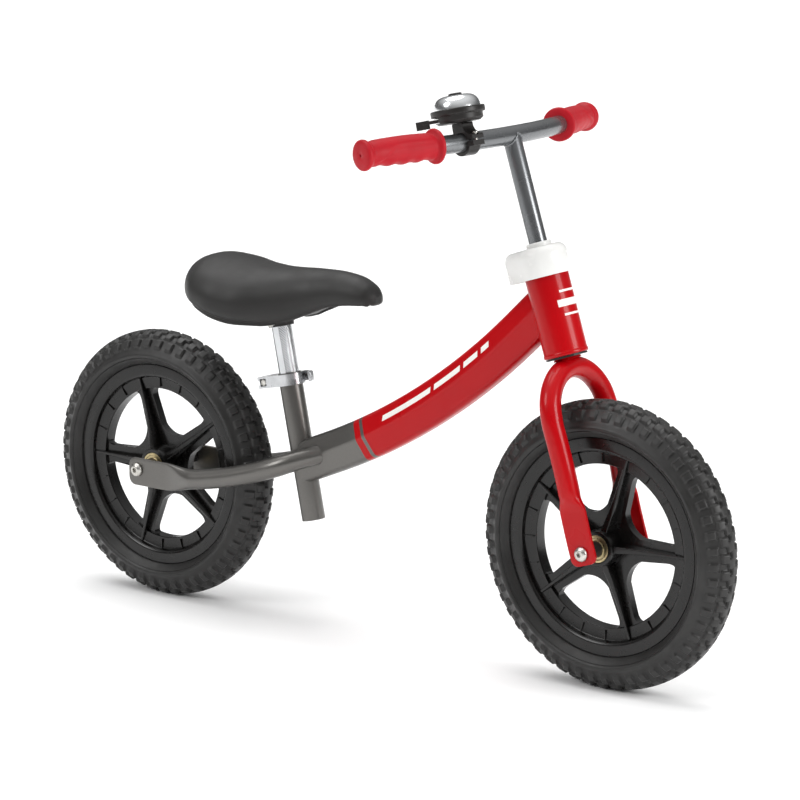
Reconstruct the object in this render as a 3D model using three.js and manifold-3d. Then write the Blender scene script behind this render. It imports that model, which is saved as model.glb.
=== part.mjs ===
// Child's balance bike: a curved beam frame on two twelve-inch foam-tyred wheels, with no pedals.
// Millimetres. +X forward, +Y the rider's left, +Z up; the origin is on the ground midway between the axles.
import * as THREE from 'three';
import { mergeVertices } from 'three/addons/utils/BufferGeometryUtils.js';
import Module from 'manifold-3d';

const wasm = await Module();
wasm.setup();

// ---------------------------------------------------------------- driving dimensions
const wheelbase = 598;
const jointGap = 0.3;            // left between pieces that touch or are welded
const runningClearance = 0.08;   // radial, between a shaft and the bearing that turns on it

// sides of a round piece: wheels and running fits, ordinary tubes, and small pieces
const fine = 32;
const plain = 24;
const small = 12;

// wheels
const tyreRadius = 150;
const tyreWidth = 50;
const tyreCrownDrop = 23;
const foamDepth = 42;            // from the rim's seat to the tread
const rimSeatRadius = tyreRadius - foamDepth;
const rimFlangeRadius = rimSeatRadius + 5;
const rimWidth = 30;
const rimFlangeThickness = 2.8;
const rimLipInnerRadius = rimSeatRadius - 9;
const rimWebInnerRadius = rimSeatRadius - 22;
const rimWebHalfWidth = 8;
const hubWall = 4.5;             // outside the bearing's pocket
const spokeCount = 5;
const spokeRootWidth = 30;
const spokeTipWidth = 17;
const spokeHalfThickness = 8;
const spokeRibWidth = 5;
const spokeRibHalfHeight = 12.5;
const rearSpokeAngle = THREE.MathUtils.degToRad(108);
const frontSpokeAngle = THREE.MathUtils.degToRad(74);

// axles, bearings and bolts
const bearingRadius = 14;
const bearingWidth = 8;
const bearingFaceY = 22.7;
const hubRadius = bearingRadius + hubWall;
const hubHalfLength = bearingFaceY - jointGap;
const axleRadius = 6;
const hubBoreRadius = axleRadius + 2;
const axleBoreRadius = 4.1;
const spacerRadius = 8.5;
const boltShankRadius = 3.85;
const boltHoleRadius = 4.3;
const boltHeadRadius = 7.6;
const boltHeadHeight = 4.6;
const boltShankLength = 22;
const hexSocketRadius = 2.9;
const hexSocketDepth = 2.6;

// flattened tubes of the fork and the rear stays
const frameTubeRadius = 11;
const frameTubeWall = 1.6;
const plateHalfWidth = 15.5;
const plateHalfThickness = 2;
const plateCentreY = 46.5;
const plateBeyondAxle = 12;
const plateCornerRadius = 8;
const forkPlateLength = 54;
const forkCrimpLength = 30;
const stayPlateLength = 50;
const stayCrimpLength = 45;

// main beam
const beamHalfHeight = 23;
const beamHalfWidth = 17;
const beamWall = 2;
const beamArcRadius = 810;
const beamOverrun = 1.5;         // the arc runs on by this share at both ends before it is coped
const beamStart = new THREE.Vector3(-53.7, 0, tyreRadius + 47.8);
const beamEndSetback = 61.2;     // behind the steering axis
const beamEndLift = 27.5;        // above the head tube's foot

// seat tube, seat post and clamp
const seatTubeFoot = new THREE.Vector3(-86.5, 0, tyreRadius - 33.3);
const seatTubeLean = THREE.MathUtils.degToRad(12);
const seatTubeLength = 162;
const seatPostRadius = 11.1;
const seatTubeWall = 1.3;
const seatTubeRadius = seatPostRadius + jointGap + seatTubeWall;
const seatPostWall = 1.6;
const seatPostLength = 165;
const seatPostShown = 63;        // height of the post's top above the seat tube's top
const collarHeight = 12.4;
const collarThickness = 2.8;
const collarRadius = seatTubeRadius + jointGap + collarThickness;
const collarEarReach = collarRadius + 18.2;
const collarSlit = 2.4;
const collarEarHalfWidth = collarRadius - 0.3;
const leverHeight = 11;
const leverThickness = 2.8;
const leverPivotX = -(collarRadius + 10.2);
const leverPinRadius = 1.8;
const skewerRadius = 2.3;
const skewerHoleRadius = 2.8;

// steering
const steeringLean = THREE.MathUtils.degToRad(18.2);
const steeringLead = 7;          // the steering axis passes this far ahead of the front axle
const archClearance = 36.5;      // from the tread to the centre line of the fork's arch
const forkArchTop = tyreRadius + archClearance;   // heights from here on run up the steering axis from the axle
const headTubeFoot = forkArchTop + 12.8;
const headTubeLength = 92;
const barHeight = headTubeFoot + 229.2;   // centre line of the handlebar
const headTubeRadius = 22.5;
const headTubeWall = 2.5;
const bushingLength = 12;
const bushingFlange = 2;
const steererRadius = 12.7;
const stemRadius = 9.5;
const tubeWall = 1.6;
const forkHalfSpan = plateCentreY + 2.5;
const forkSetback = 1.5;          // the legs' centre line lies this far behind the steering axis
const barArcRadius = 366;
const barSweep = THREE.MathUtils.degToRad(17);
const barDroop = THREE.MathUtils.degToRad(5);   // the swept ends hang this far below level
const gripLength = 92;
const gripRadius = 13.2;
const gripFlangeRadius = 17.8;
const gripEndFlangeRadius = 15.6;
const gripFlangeThickness = 5;
const gripEndThickness = 4;
const coverFoot = headTubeFoot + headTubeLength - 10;
const coverHeight = 31;
const coverFrontRadius = headTubeRadius + 4.5;
const coverNoseRadius = 16;
const coverNoseReach = 44;
const coverWall = 2;
const stemCollarHeight = 12;
const stemCollarRadius = 17.5;
const stemCollarEarReach = 34;
const stemBoltX = -27;
const stemBoltRadius = 3;
const stemEarHalfWidth = 7.5;

// bell
const bellPlaceY = -68;
const bellLean = THREE.MathUtils.degToRad(14);
const bellOffset = -4;
const bellBandRadius = 13.5;
const bellBandWidth = 15;
const bellBaseFoot = 20;
const bellDomeRadius = 24;
const bellBodyRadius = bellDomeRadius + 0.5;
const bellBodyHeight = 8;
const bellRingRadius = bellDomeRadius + 3.5;
const bellRingHeight = 6.5;
const bellDomeHeight = 17;
const bellWall = 1.4;
const bellPinRadius = 2.2;
const bellCapRadius = 7;
const bellLeverReach = bellRingRadius + 15.5;
const bellLeverPinRadius = 1.2;
const bellScrewX = 15.5;
const strikerReach = bellDomeRadius - 9.5;
const bellLeverAngle = THREE.MathUtils.degToRad(222);

// saddle
const saddleTail = -112.7;       // from the post's top back to the saddle's tail
const saddleLength = 248;
const saddleBaseInset = 9;
const socketWall = 3;            // of the cup that sits on the post's top
const socketRadius = seatPostRadius + socketWall;
const saddleBoltDrop = 6;        // below the post's top
const saddleBoltRadius = 3;
const saddleWing = new THREE.Vector3(52, 20, 5);

// ---------------------------------------------------------------- finishes
const paintRed = { color: 0xc60d18, roughness: 0.28, metalness: 0.1 };
const paintGrey = { color: 0x64625f, roughness: 0.38, metalness: 0.5 };
const barGrey = { color: 0x797b7d, roughness: 0.35, metalness: 0.6 };
const whitePlastic = { color: 0xf0f0ee, roughness: 0.3, metalness: 0 };
const blackPlastic = { color: 0x16150f, roughness: 0.3, metalness: 0 };
const blackBellPlastic = { color: 0x232120, roughness: 0.45, metalness: 0 };
const foamBlack = { color: 0x2e2d2b, roughness: 0.75, metalness: 0 };
const gripRubber = { color: 0xcd1e32, roughness: 0.6, metalness: 0 };
const saddleVinyl = { color: 0x2d2b2a, roughness: 0.6, metalness: 0 };
const polishedAlloy = { color: 0xc9cacb, roughness: 0.22, metalness: 1 };
const chromedSteel = { color: 0xd8dadb, roughness: 0.12, metalness: 1 };
const zincSteel = { color: 0xb9b7ae, roughness: 0.35, metalness: 1 };
const bearingSteel = { color: 0xb3a26b, roughness: 0.35, metalness: 1 };
const spacerBlack = { color: 0x1d1c1b, roughness: 0.5, metalness: 0.3 };

// ---------------------------------------------------------------- helpers
const X = new THREE.Vector3(1, 0, 0);
const Y = new THREE.Vector3(0, 1, 0);
const Z = new THREE.Vector3(0, 0, 1);
const quarter = Math.PI / 2;

function vec(x, y, z) {
  return new THREE.Vector3(x, y, z);
}

// position-only copy of a geometry, with shared vertices joined
function welded(geometry) {
  const copy = new THREE.BufferGeometry();
  copy.setAttribute('position', geometry.getAttribute('position').clone());
  if (geometry.index) copy.setIndex(geometry.index.clone());
  return mergeVertices(copy, 1e-4);
}

function solid(geometry) {
  const shared = welded(geometry);
  return new wasm.Manifold(new wasm.Mesh({
    numProp: 3,
    vertProperties: new Float32Array(shared.getAttribute('position').array),
    triVerts: new Uint32Array(shared.index.array),
  }));
}

function surface(body) {
  const mesh = body.getMesh();
  const geometry = new THREE.BufferGeometry();
  geometry.setAttribute('position', new THREE.BufferAttribute(new Float32Array(mesh.vertProperties), 3));
  geometry.setIndex(new THREE.BufferAttribute(new Uint32Array(mesh.triVerts), 1));
  return geometry;
}

function join(first, ...others) {
  return surface(others.reduce((body, other) => body.add(solid(other)), solid(first)));
}

function cut(first, ...tools) {
  return surface(tools.reduce((body, tool) => body.subtract(solid(tool)), solid(first)));
}

// a box given by its centre and its three full sizes
function block(centre, sizeX, sizeY, sizeZ) {
  return new THREE.BoxGeometry(sizeX, sizeY, sizeZ).translate(centre.x, centre.y, centre.z);
}

// a round bar between two points
function rod(from, to, radius, segments = plain) {
  const along = to.clone().sub(from);
  const geometry = new THREE.CylinderGeometry(radius, radius, along.length(), segments);
  geometry.applyQuaternion(new THREE.Quaternion().setFromUnitVectors(Y, along.clone().normalize()));
  const middle = from.clone().add(to).multiplyScalar(0.5);
  return geometry.translate(middle.x, middle.y, middle.z);
}

// a profile of [radius, height] pairs turned about Z; it closes on itself or starts and ends on the axis
function turned(profile, segments = plain) {
  const points = profile.map(([radius, height]) => new THREE.Vector2(radius, height));
  if (profile[0][0] > 0) points.push(points[0].clone());
  return facingOut(welded(new THREE.LatheGeometry(points, segments).rotateX(quarter)));
}

function tube(innerRadius, outerRadius, low, high, segments = fine) {
  return turned([[innerRadius, low], [outerRadius, low], [outerRadius, high], [innerRadius, high]], segments);
}

// a closed skin over rings of equally many points, with a fan over each end
function loft(rings) {
  const count = rings[0].length;
  const points = rings.flat();
  const index = [];
  for (let row = 0; row + 1 < rings.length; row += 1) {
    for (let i = 0; i < count; i += 1) {
      const a = row * count + i;
      const b = row * count + (i + 1) % count;
      index.push(a, b, a + count, b, b + count, a + count);
    }
  }
  [[0, true], [rings.length - 1, false]].forEach(([row, flip]) => {
    const middle = rings[row].reduce((sum, p) => sum.add(p), vec(0, 0, 0)).divideScalar(count);
    const hub = points.push(middle) - 1;
    for (let i = 0; i < count; i += 1) {
      const a = row * count + i;
      const b = row * count + (i + 1) % count;
      index.push(hub, flip ? b : a, flip ? a : b);
    }
  });
  const geometry = new THREE.BufferGeometry().setFromPoints(points);
  geometry.setIndex(index);
  return facingOut(geometry);
}

// turns every triangle over where the skin faces inward
function facingOut(geometry) {
  if (volume(geometry) >= 0) return geometry;
  const index = Array.from(geometry.index.array);
  for (let i = 0; i < index.length; i += 3) [index[i], index[i + 1]] = [index[i + 1], index[i]];
  geometry.setIndex(index);
  return geometry;
}

function volume(geometry) {
  const place = geometry.getAttribute('position');
  const corner = (i) => new THREE.Vector3().fromBufferAttribute(place, geometry.index.getX(i));
  let sum = 0;
  for (let i = 0; i < geometry.index.count; i += 3) {
    sum += corner(i).dot(corner(i + 1).cross(corner(i + 2))) / 6;
  }
  return sum;
}

// a ring that is round at power 2 and squarer above it
function ring(centre, sideA, sideB, halfA, halfB, power, count) {
  const bulge = (value) => Math.sign(value) * Math.abs(value) ** (2 / power);
  return Array.from({ length: count }, (_, i) => {
    const turn = (2 * Math.PI * i) / count;
    return centre.clone()
      .addScaledVector(sideA, halfA * bulge(Math.cos(turn)))
      .addScaledVector(sideB, halfB * bulge(Math.sin(turn)));
  });
}

function mesh(name, geometry, finish) {
  const part = new THREE.Mesh(geometry, new THREE.MeshStandardMaterial(finish));
  part.name = name;
  return part;
}

// ---------------------------------------------------------------- fasteners and bearings
// an axle bolt on the Y axis: its head's seat is at y = 0 and its head points to -Y
function axleBolt() {
  const rim = boltHeadRadius;
  const head = boltHeadHeight;
  const profile = [
    [0, boltShankLength], [boltShankRadius, boltShankLength], [boltShankRadius, 0],
    [rim, 0], [rim, -head * 0.4], [rim * 0.7, -head], [0, -head],
  ];
  const socket = new THREE.CylinderGeometry(hexSocketRadius, hexSocketRadius, hexSocketDepth * 2, 6);
  socket.rotateX(quarter).translate(0, 0, -head);
  return cut(turned(profile, 16), socket).rotateX(-quarter);
}

function bearing() {
  return tube(axleRadius + runningClearance, bearingRadius, 0, bearingWidth).rotateX(-quarter);
}

// ---------------------------------------------------------------- wheels, turning about Y
function tyre() {
  const half = tyreWidth / 2;
  const seat = rimSeatRadius + jointGap;
  const flange = rimFlangeRadius + jointGap;
  const bead = rimWidth / 2 - rimFlangeThickness - jointGap;
  const crown = [];
  const steps = 3;
  for (let i = -steps; i <= steps; i += 1) {
    const share = i / steps;
    crown.push([tyreRadius - tyreCrownDrop * Math.abs(share) ** 2.5, share * half]);
  }
  const profile = [
    [seat, bead], [seat, -bead], [flange, -bead], [flange, -rimWidth / 2],
    [flange + 5, -half + 3.5],
    ...crown,
    [flange + 5, half - 3.5],
    [flange, rimWidth / 2], [flange, bead],
  ];
  return turned(profile, fine).rotateX(-quarter);
}

function rim() {
  const half = rimWidth / 2;
  const bead = half - rimFlangeThickness;
  const profile = [
    [rimSeatRadius, bead], [rimFlangeRadius, bead], [rimFlangeRadius, half], [rimLipInnerRadius, half],
    [rimLipInnerRadius - 1.5, rimWebHalfWidth], [rimWebInnerRadius, rimWebHalfWidth],
    [rimWebInnerRadius, -rimWebHalfWidth], [rimLipInnerRadius - 1.5, -rimWebHalfWidth],
    [rimLipInnerRadius, -half], [rimFlangeRadius, -half], [rimFlangeRadius, -bead],
    [rimSeatRadius, -bead],
  ];
  return turned(profile, fine);
}

// one spoke along +X: a tapered flange with a raised rib down its middle
function spoke() {
  const start = hubRadius - 4;
  const end = rimWebInnerRadius + 2;
  const plan = (rootWidth, tipWidth) => new THREE.Shape([
    new THREE.Vector2(start, -rootWidth / 2), new THREE.Vector2(end, -tipWidth / 2),
    new THREE.Vector2(end, tipWidth / 2), new THREE.Vector2(start, rootWidth / 2),
  ]);
  const layer = (shape, half) => new THREE.ExtrudeGeometry(shape, { depth: 2 * half, bevelEnabled: false })
    .translate(0, 0, -half);
  const flange = layer(plan(spokeRootWidth, spokeTipWidth), spokeHalfThickness * 0.55);
  const rib = layer(plan(spokeRibWidth * 2, spokeRibWidth), spokeRibHalfHeight);
  return join(flange, rib);
}

function wheel(firstAngle) {
  const hub = tube(hubBoreRadius, hubRadius, -hubHalfLength, hubHalfLength, plain);
  const spokes = Array.from({ length: spokeCount }, (_, i) => (
    spoke().rotateZ(firstAngle + (2 * Math.PI * i) / spokeCount)));
  const pocket = bearingRadius + jointGap / 2;
  const pocketFloor = bearingFaceY - bearingWidth - jointGap;
  const low = rod(vec(0, 0, -hubHalfLength - 1), vec(0, 0, -pocketFloor), pocket);
  const high = rod(vec(0, 0, pocketFloor), vec(0, 0, hubHalfLength + 1), pocket);
  const bore = rod(vec(0, 0, -hubHalfLength), vec(0, 0, hubHalfLength), hubBoreRadius);
  return cut(join(rim(), hub, ...spokes), low, high, bore).rotateX(quarter);
}

// everything on one axle; the plates of the frame or fork stand at plateCentreY on each side
function wheelSet(end, spokeAngle) {
  const group = new THREE.Group();
  const plateInner = plateCentreY - plateHalfThickness - jointGap;
  const plateOuter = plateCentreY + plateHalfThickness + jointGap;
  group.add(mesh(`${end}_tyre`, tyre(), foamBlack));
  group.add(mesh(`${end}_wheel`, wheel(spokeAngle), blackPlastic));
  const axle = tube(axleBoreRadius, axleRadius, -plateInner, plateInner);
  group.add(mesh(`${end}_axle`, axle.rotateX(quarter), zincSteel));
  [['right', 1], ['left', -1]].forEach(([side, way]) => {
    const turn = new THREE.Group();
    if (way < 0) turn.rotation.z = Math.PI;
    const race = bearing().translate(0, -bearingFaceY, 0);
    turn.add(mesh(`${end}_bearing_${side}`, race, bearingSteel));
    const spacerStart = bearingFaceY + jointGap;
    const spacer = tube(axleRadius + jointGap / 2, spacerRadius, spacerStart, plateInner - jointGap, 20);
    turn.add(mesh(`${end}_spacer_${side}`, spacer.rotateX(quarter), spacerBlack));
    const bolt = mesh(`${end}_axle_bolt_${side}`, axleBolt(), zincSteel);
    bolt.position.y = -plateOuter;
    turn.add(bolt);
    group.add(turn);
  });
  return group;
}

// ---------------------------------------------------------------- tubes flattened into plates at their ends
// Distances along the route at which the section is given, with how flat the tube is there (0 round, 1 flat).
function flatteningAlong(length, plateLength, crimpLength, step) {
  const corner = plateCornerRadius;
  const rows = [0, 0.12, 0.45, 1].map((share) => [corner * share, 1]);
  rows.push([plateLength, 1]);
  for (let i = 1; i <= 4; i += 1) {
    const share = i / 4;
    rows.push([plateLength + crimpLength * share, 1 - share * share * (3 - 2 * share)]);
  }
  const start = plateLength + crimpLength;
  const count = Math.max(2, Math.round((length - start) / step));
  for (let i = 1; i <= count; i += 1) rows.push([start + ((length - start) * i) / count, 0]);
  return rows;
}

// rings of the outer skin, or of the bore when inset is above 0
function flattenedRings(route, rows, across, inset) {
  const total = route.getLength();
  const smooth = (a, b, share) => a + (b - a) * share;
  return rows.map(([distance, flat]) => {
    const place = Math.min(1, distance / total);
    const tangent = route.getTangentAt(place);
    const wide = across.clone().addScaledVector(tangent, -across.dot(tangent)).normalize();
    const thin = tangent.clone().cross(wide);
    const into = Math.max(0, plateCornerRadius - Math.min(distance, total - distance));
    const rounding = plateCornerRadius - Math.sqrt(plateCornerRadius ** 2 - into ** 2);
    const halfWide = smooth(frameTubeRadius, plateHalfWidth - rounding, flat) - inset;
    const halfThin = smooth(frameTubeRadius, plateHalfThickness, flat) - inset;
    return ring(route.getPointAt(place), wide, thin, halfWide, halfThin, smooth(2, 7, flat), 12);
  });
}

// ---------------------------------------------------------------- seat tube frame: Z up the seat tube from its foot
function seatTubeMatrix() {
  const turn = new THREE.Matrix4().makeRotationY(-seatTubeLean);
  return turn.setPosition(seatTubeFoot);
}

// steering frame: Z up the steering axis from axle height, X square to it and forward
function steeringMatrix() {
  const turn = new THREE.Matrix4().makeRotationY(-steeringLean);
  return turn.setPosition(wheelbase / 2 + steeringLead, 0, tyreRadius);
}

function steeringPoint(x, y, z) {
  return vec(x, y, z).applyMatrix4(steeringMatrix());
}

function intoSteering(x, y, z) {
  return vec(x, y, z).applyMatrix4(steeringMatrix().invert());
}

// ---------------------------------------------------------------- frame
function beamRings(inset, overrun) {
  const beamEnd = steeringPoint(-beamEndSetback, 0, headTubeFoot + beamEndLift);
  const chord = beamEnd.clone().sub(beamStart);
  const halfAngle = Math.asin(chord.length() / 2 / beamArcRadius);
  const along = chord.clone().normalize();
  const up = vec(-along.z, 0, along.x);
  const centre = beamStart.clone().add(beamEnd).multiplyScalar(0.5)
    .addScaledVector(up, beamArcRadius * Math.cos(halfAngle));
  const section = [
    [beamHalfHeight, beamHalfWidth * 0.36], [beamHalfHeight * 0.87, beamHalfWidth * 0.64],
    [beamHalfHeight * 0.1, beamHalfWidth], [-beamHalfHeight * 0.85, beamHalfWidth * 0.68],
    [-beamHalfHeight, beamHalfWidth * 0.38],
  ];
  const outline = [...section, ...section.slice().reverse().map(([n, b]) => [n, -b])];
  const reach = halfAngle * overrun;
  const count = 10;
  return Array.from({ length: count + 1 }, (_, i) => {
    const angle = -reach + (2 * reach * i) / count;
    const outward = along.clone().multiplyScalar(Math.sin(angle)).addScaledVector(up, -Math.cos(angle));
    const middle = centre.clone().addScaledVector(outward, beamArcRadius);
    return outline.map(([n, b]) => {
      const shrinkN = n - Math.sign(n) * inset;
      const shrinkB = b - Math.sign(b) * inset;
      return middle.clone().addScaledVector(outward, -shrinkN).addScaledVector(Y, shrinkB);
    });
  });
}

function mainBeam() {
  const body = cut(loft(beamRings(0, beamOverrun)), loft(beamRings(beamWall, beamOverrun + 0.1)));
  const headClear = rod(steeringPoint(0, 0, headTubeFoot - 60), steeringPoint(0, 0, headTubeFoot + 160),
    headTubeRadius + jointGap, fine);
  const beyondHead = block(vec(150, 0, 0), 300, 120, 900).applyMatrix4(steeringMatrix());
  const seatClear = rod(vec(0, 0, -60), vec(0, 0, seatTubeLength + 60), seatTubeRadius + jointGap, fine);
  const behindSeat = block(vec(-147, 0, 100), 300, 120, 500);
  return cut(body, headClear, beyondHead, seatClear.applyMatrix4(seatTubeMatrix()),
    behindSeat.applyMatrix4(seatTubeMatrix()));
}

function seatTube() {
  const body = tube(seatPostRadius + jointGap, seatTubeRadius, 0, seatTubeLength);
  const slit = block(vec(-seatTubeRadius, 0, seatTubeLength), 8, collarSlit, 50);
  return cut(body, slit);
}

// side is -1 on the right and 1 on the left
function stay(side) {
  const axleX = -wheelbase / 2;
  const plateZ = tyreRadius - 2.4;
  const span = beamStart.x - 9.3 - axleX;
  const bend = [
    [0.3, plateCentreY + 0.6, 1.6], [0.49, plateCentreY + 0.2, 9], [0.68, plateCentreY - 2.3, 20.5],
    [0.83, plateCentreY - 7, 33], [0.936, plateCentreY - 19.5, 42.5], [1, 9, 47],
  ];
  const route = new THREE.CatmullRomCurve3([
    vec(axleX - plateBeyondAxle, side * plateCentreY, plateZ),
    vec(axleX + 16, side * plateCentreY, plateZ),
    vec(axleX + 38, side * plateCentreY, plateZ),
    ...bend.map(([share, out, lift]) => vec(axleX + span * share, side * out, plateZ + lift)),
  ]);
  const rows = flatteningAlong(route.getLength(), stayPlateLength, stayCrimpLength, 22);
  const bore = rows.filter(([, flat]) => flat < 0.5);
  const body = cut(loft(flattenedRings(route, rows, Z, 0)),
    loft(flattenedRings(route, bore, Z, frameTubeWall)));
  const hole = rod(vec(axleX, side * (plateCentreY - 16), tyreRadius), vec(axleX, side * (plateCentreY + 14), tyreRadius),
    boltHoleRadius, small);
  const beam = loft(beamRings(-jointGap, beamOverrun));
  return cut(body, hole, beam);
}

function headTube() {
  const hem = 4;
  const foot = headTubeFoot;
  const profile = [
    [headTubeRadius - headTubeWall, foot], [headTubeRadius + 0.2, foot], [headTubeRadius + 0.6, foot + 1],
    [headTubeRadius + 0.6, foot + hem - 1], [headTubeRadius, foot + hem],
    [headTubeRadius, foot + headTubeLength], [headTubeRadius - headTubeWall, foot + headTubeLength],
  ];
  return turned(profile, fine);
}

// a flanged bush in the end of the head tube; end is 1 at the top and -1 at the foot
function bushing(end) {
  const mouth = end > 0 ? headTubeFoot + headTubeLength : headTubeFoot;
  const inner = steererRadius + runningClearance;
  const outer = headTubeRadius - headTubeWall - jointGap / 2;
  const profile = [
    [inner, -bushingLength], [outer, -bushingLength], [outer, jointGap],
    [headTubeRadius - 1, jointGap], [headTubeRadius - 1, jointGap + bushingFlange],
    [inner, jointGap + bushingFlange],
  ];
  return turned(profile.map(([radius, height]) => [radius, mouth + end * height]), fine);
}

function frame() {
  const group = new THREE.Group();
  group.add(mesh('main_beam', mainBeam(), paintRed));
  group.add(mesh('stay_right', stay(-1), paintGrey));
  group.add(mesh('stay_left', stay(1), paintGrey));
  const head = new THREE.Group();
  head.applyMatrix4(steeringMatrix());
  head.add(mesh('head_tube', headTube(), paintRed));
  head.add(mesh('head_bushing_upper', bushing(1), blackPlastic));
  head.add(mesh('head_bushing_lower', bushing(-1), blackPlastic));
  const seatGroup = new THREE.Group();
  seatGroup.applyMatrix4(seatTubeMatrix());
  seatGroup.add(mesh('seat_tube', seatTube(), paintGrey));
  seatGroup.add(seatClamp());
  group.add(head, seatGroup);
  return group;
}

// ---------------------------------------------------------------- quick-release seat clamp
function seatClamp() {
  const group = new THREE.Group();
  group.position.z = seatTubeLength - collarHeight / 2 - 1;
  const inner = seatTubeRadius + jointGap;
  const half = collarHeight / 2;
  const reach = collarEarReach;
  const earWidth = 2 * collarEarHalfWidth;
  const band = join(rod(vec(0, 0, -half), vec(0, 0, half), collarRadius),
    block(vec(-reach / 2, 0, 0), reach, earWidth, collarHeight));
  const bore = rod(vec(0, 0, -half - 1), vec(0, 0, half + 1), inner, fine);
  const slit = block(vec(-reach, 0, 0), 2 * reach - inner, collarSlit, collarHeight + 2);
  const boltX = leverPivotX;
  const skewerHole = rod(vec(boltX, -30, 0), vec(boltX, 30, 0), skewerHoleRadius, small);
  const nutWindow = block(vec(boltX, -collarEarHalfWidth, 0), 8.4, 9, 8.2);
  const yoke = block(vec(-reach, -collarEarHalfWidth, 0), 5, 9, 5);
  const waist = block(vec(-reach, collarEarHalfWidth, 0), 26, 8, collarHeight + 2);
  group.add(mesh('seat_clamp', cut(band, bore, slit, skewerHole, nutWindow, yoke, waist), polishedAlloy));
  const farFace = collarEarHalfWidth - 4;
  group.add(mesh('seat_clamp_skewer', seatClampSkewer(boltX, farFace), zincSteel));
  const nut = new THREE.CylinderGeometry(3.6, 3.6, 3.8, 6).translate(boltX, -collarEarHalfWidth + 2.2, 0);
  const nutBore = rod(vec(boltX, -30, 0), vec(boltX, 30, 0), skewerRadius + jointGap, small);
  group.add(mesh('seat_clamp_nut', cut(nut, nutBore), zincSteel));
  const pivotY = farFace + 7.5;
  const pin = rod(vec(boltX, pivotY, -leverHeight / 2), vec(boltX, pivotY, leverHeight / 2), leverPinRadius, 16);
  group.add(mesh('seat_clamp_pin', pin, zincSteel));
  group.add(mesh('seat_clamp_lever', seatClampLever(boltX, pivotY), polishedAlloy));
  return group;
}

function seatClampSkewer(boltX, farFace) {
  const shank = rod(vec(boltX, -collarEarHalfWidth + 0.6, 0), vec(boltX, farFace + 6, 0), skewerRadius, small);
  const eye = rod(vec(boltX, farFace + 7.5, -2.4), vec(boltX, farFace + 7.5, 2.4), 4.2, 20);
  const eyeBore = rod(vec(boltX, farFace + 7.5, -9), vec(boltX, farFace + 7.5, 9), leverPinRadius + jointGap, 16);
  return cut(join(shank, eye), eyeBore);
}

// the lever runs round the collar's left side, and its ribbed tip stands in front of the post
function seatClampLever(pivotX, pivotY) {
  const half = leverHeight / 2;
  const path = new THREE.CatmullRomCurve3([
    vec(pivotX + 5, pivotY + 2.4, 0), vec(-8, pivotY + 5, 0), vec(8, collarRadius + 5.7, 0),
    vec(collarRadius + 3.2, 14, 0), vec(collarRadius + 8.7, 3, 0),
  ]);
  const count = 6;
  const rings = Array.from({ length: count + 1 }, (_, i) => {
    const tangent = path.getTangentAt(i / count);
    const side = tangent.clone().cross(Z);
    const halfThick = leverThickness / 2;
    return ring(path.getPointAt(i / count), side, Z, halfThick, half, 6, 8);
  });
  const head = rod(vec(pivotX, pivotY, -half), vec(pivotX, pivotY, half), 6, 16);
  const slot = rod(vec(pivotX, pivotY, -2.8), vec(pivotX, pivotY, 2.8), 7, 16);
  const bore = rod(vec(pivotX, pivotY, -half - 1), vec(pivotX, pivotY, half + 1),
    leverPinRadius + runningClearance, 16);
  const ribs = Array.from({ length: 3 }, (_, i) => {
    const at = path.getPointAt(0.82 + 0.07 * i);
    return rod(at.clone().setZ(-half + 0.4), at.clone().setZ(half - 0.4), leverThickness / 2 + 0.7, 6);
  });
  return cut(join(loft(rings), head, ...ribs), slot, bore);
}

// ---------------------------------------------------------------- saddle and post
// shares along the saddle from its tail: half width, and the heights of its top and skirt above the post's top
const saddleSections = [
  [0, 8, 41.2, 23.2], [0.02, 27, 48.7, 16.2], [0.07, 46, 56.2, 8.2], [0.15, 59, 61.2, 1.2],
  [0.25, 63, 59.7, -5.8], [0.36, 59.5, 54.2, -9.8], [0.47, 49, 50.7, -9.8], [0.57, 38, 51.7, -4.8],
  [0.67, 29, 54.7, 5.2], [0.78, 24, 56.5, 16.2], [0.89, 21.5, 54.7, 21.2], [0.96, 17.5, 47.7, 23.2],
  [0.99, 11, 40.2, 25.2], [1, 5, 35.2, 27.2],
];
const saddleWaist = 0.35;        // height of the widest line, as a share from skirt to top

// domed above its widest line and squarer below it
function saddleRing(share, halfWidth, top, foot, inset, count) {
  const waist = foot + (top - foot) * saddleWaist;
  const middle = postTop().add(vec(saddleTail + saddleLength * share, 0, waist));
  const upper = ring(middle, Y, Z, halfWidth - inset, top - waist, 2, count);
  const lower = ring(middle, Y, Z, halfWidth - inset, waist - foot, 3.5, count);
  return upper.map((point, i) => (2 * i <= count ? point : lower[i]));
}

function saddleCover() {
  const rings = saddleSections.map(([share, width, top, foot]) => saddleRing(share, width, top, foot, 0, 16));
  return cut(loft(rings), saddleBaseBody(jointGap), saddleHollow(), postSpace());
}

// the moulded pan that carries the padding
function saddleBaseBody(grow) {
  const rows = saddleSections.filter(([share]) => share >= 0.07 && share <= 0.96);
  return loft(rows.map(([share, width, , foot]) => (
    saddleRing(share, width, foot + 13 + grow, foot + 4 - grow, saddleBaseInset - grow, 12))));
}

// the space under the pan
function saddleHollow() {
  const rows = saddleSections.filter(([share]) => share >= 0.07 && share <= 0.96);
  return loft(rows.map(([share, width, , foot]) => (
    saddleRing(share, width, foot + 8, foot - 20, saddleBaseInset + 1, 12))));
}

function postTop() {
  return vec(0, 0, seatTubeLength + seatPostShown).applyMatrix4(seatTubeMatrix());
}

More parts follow.
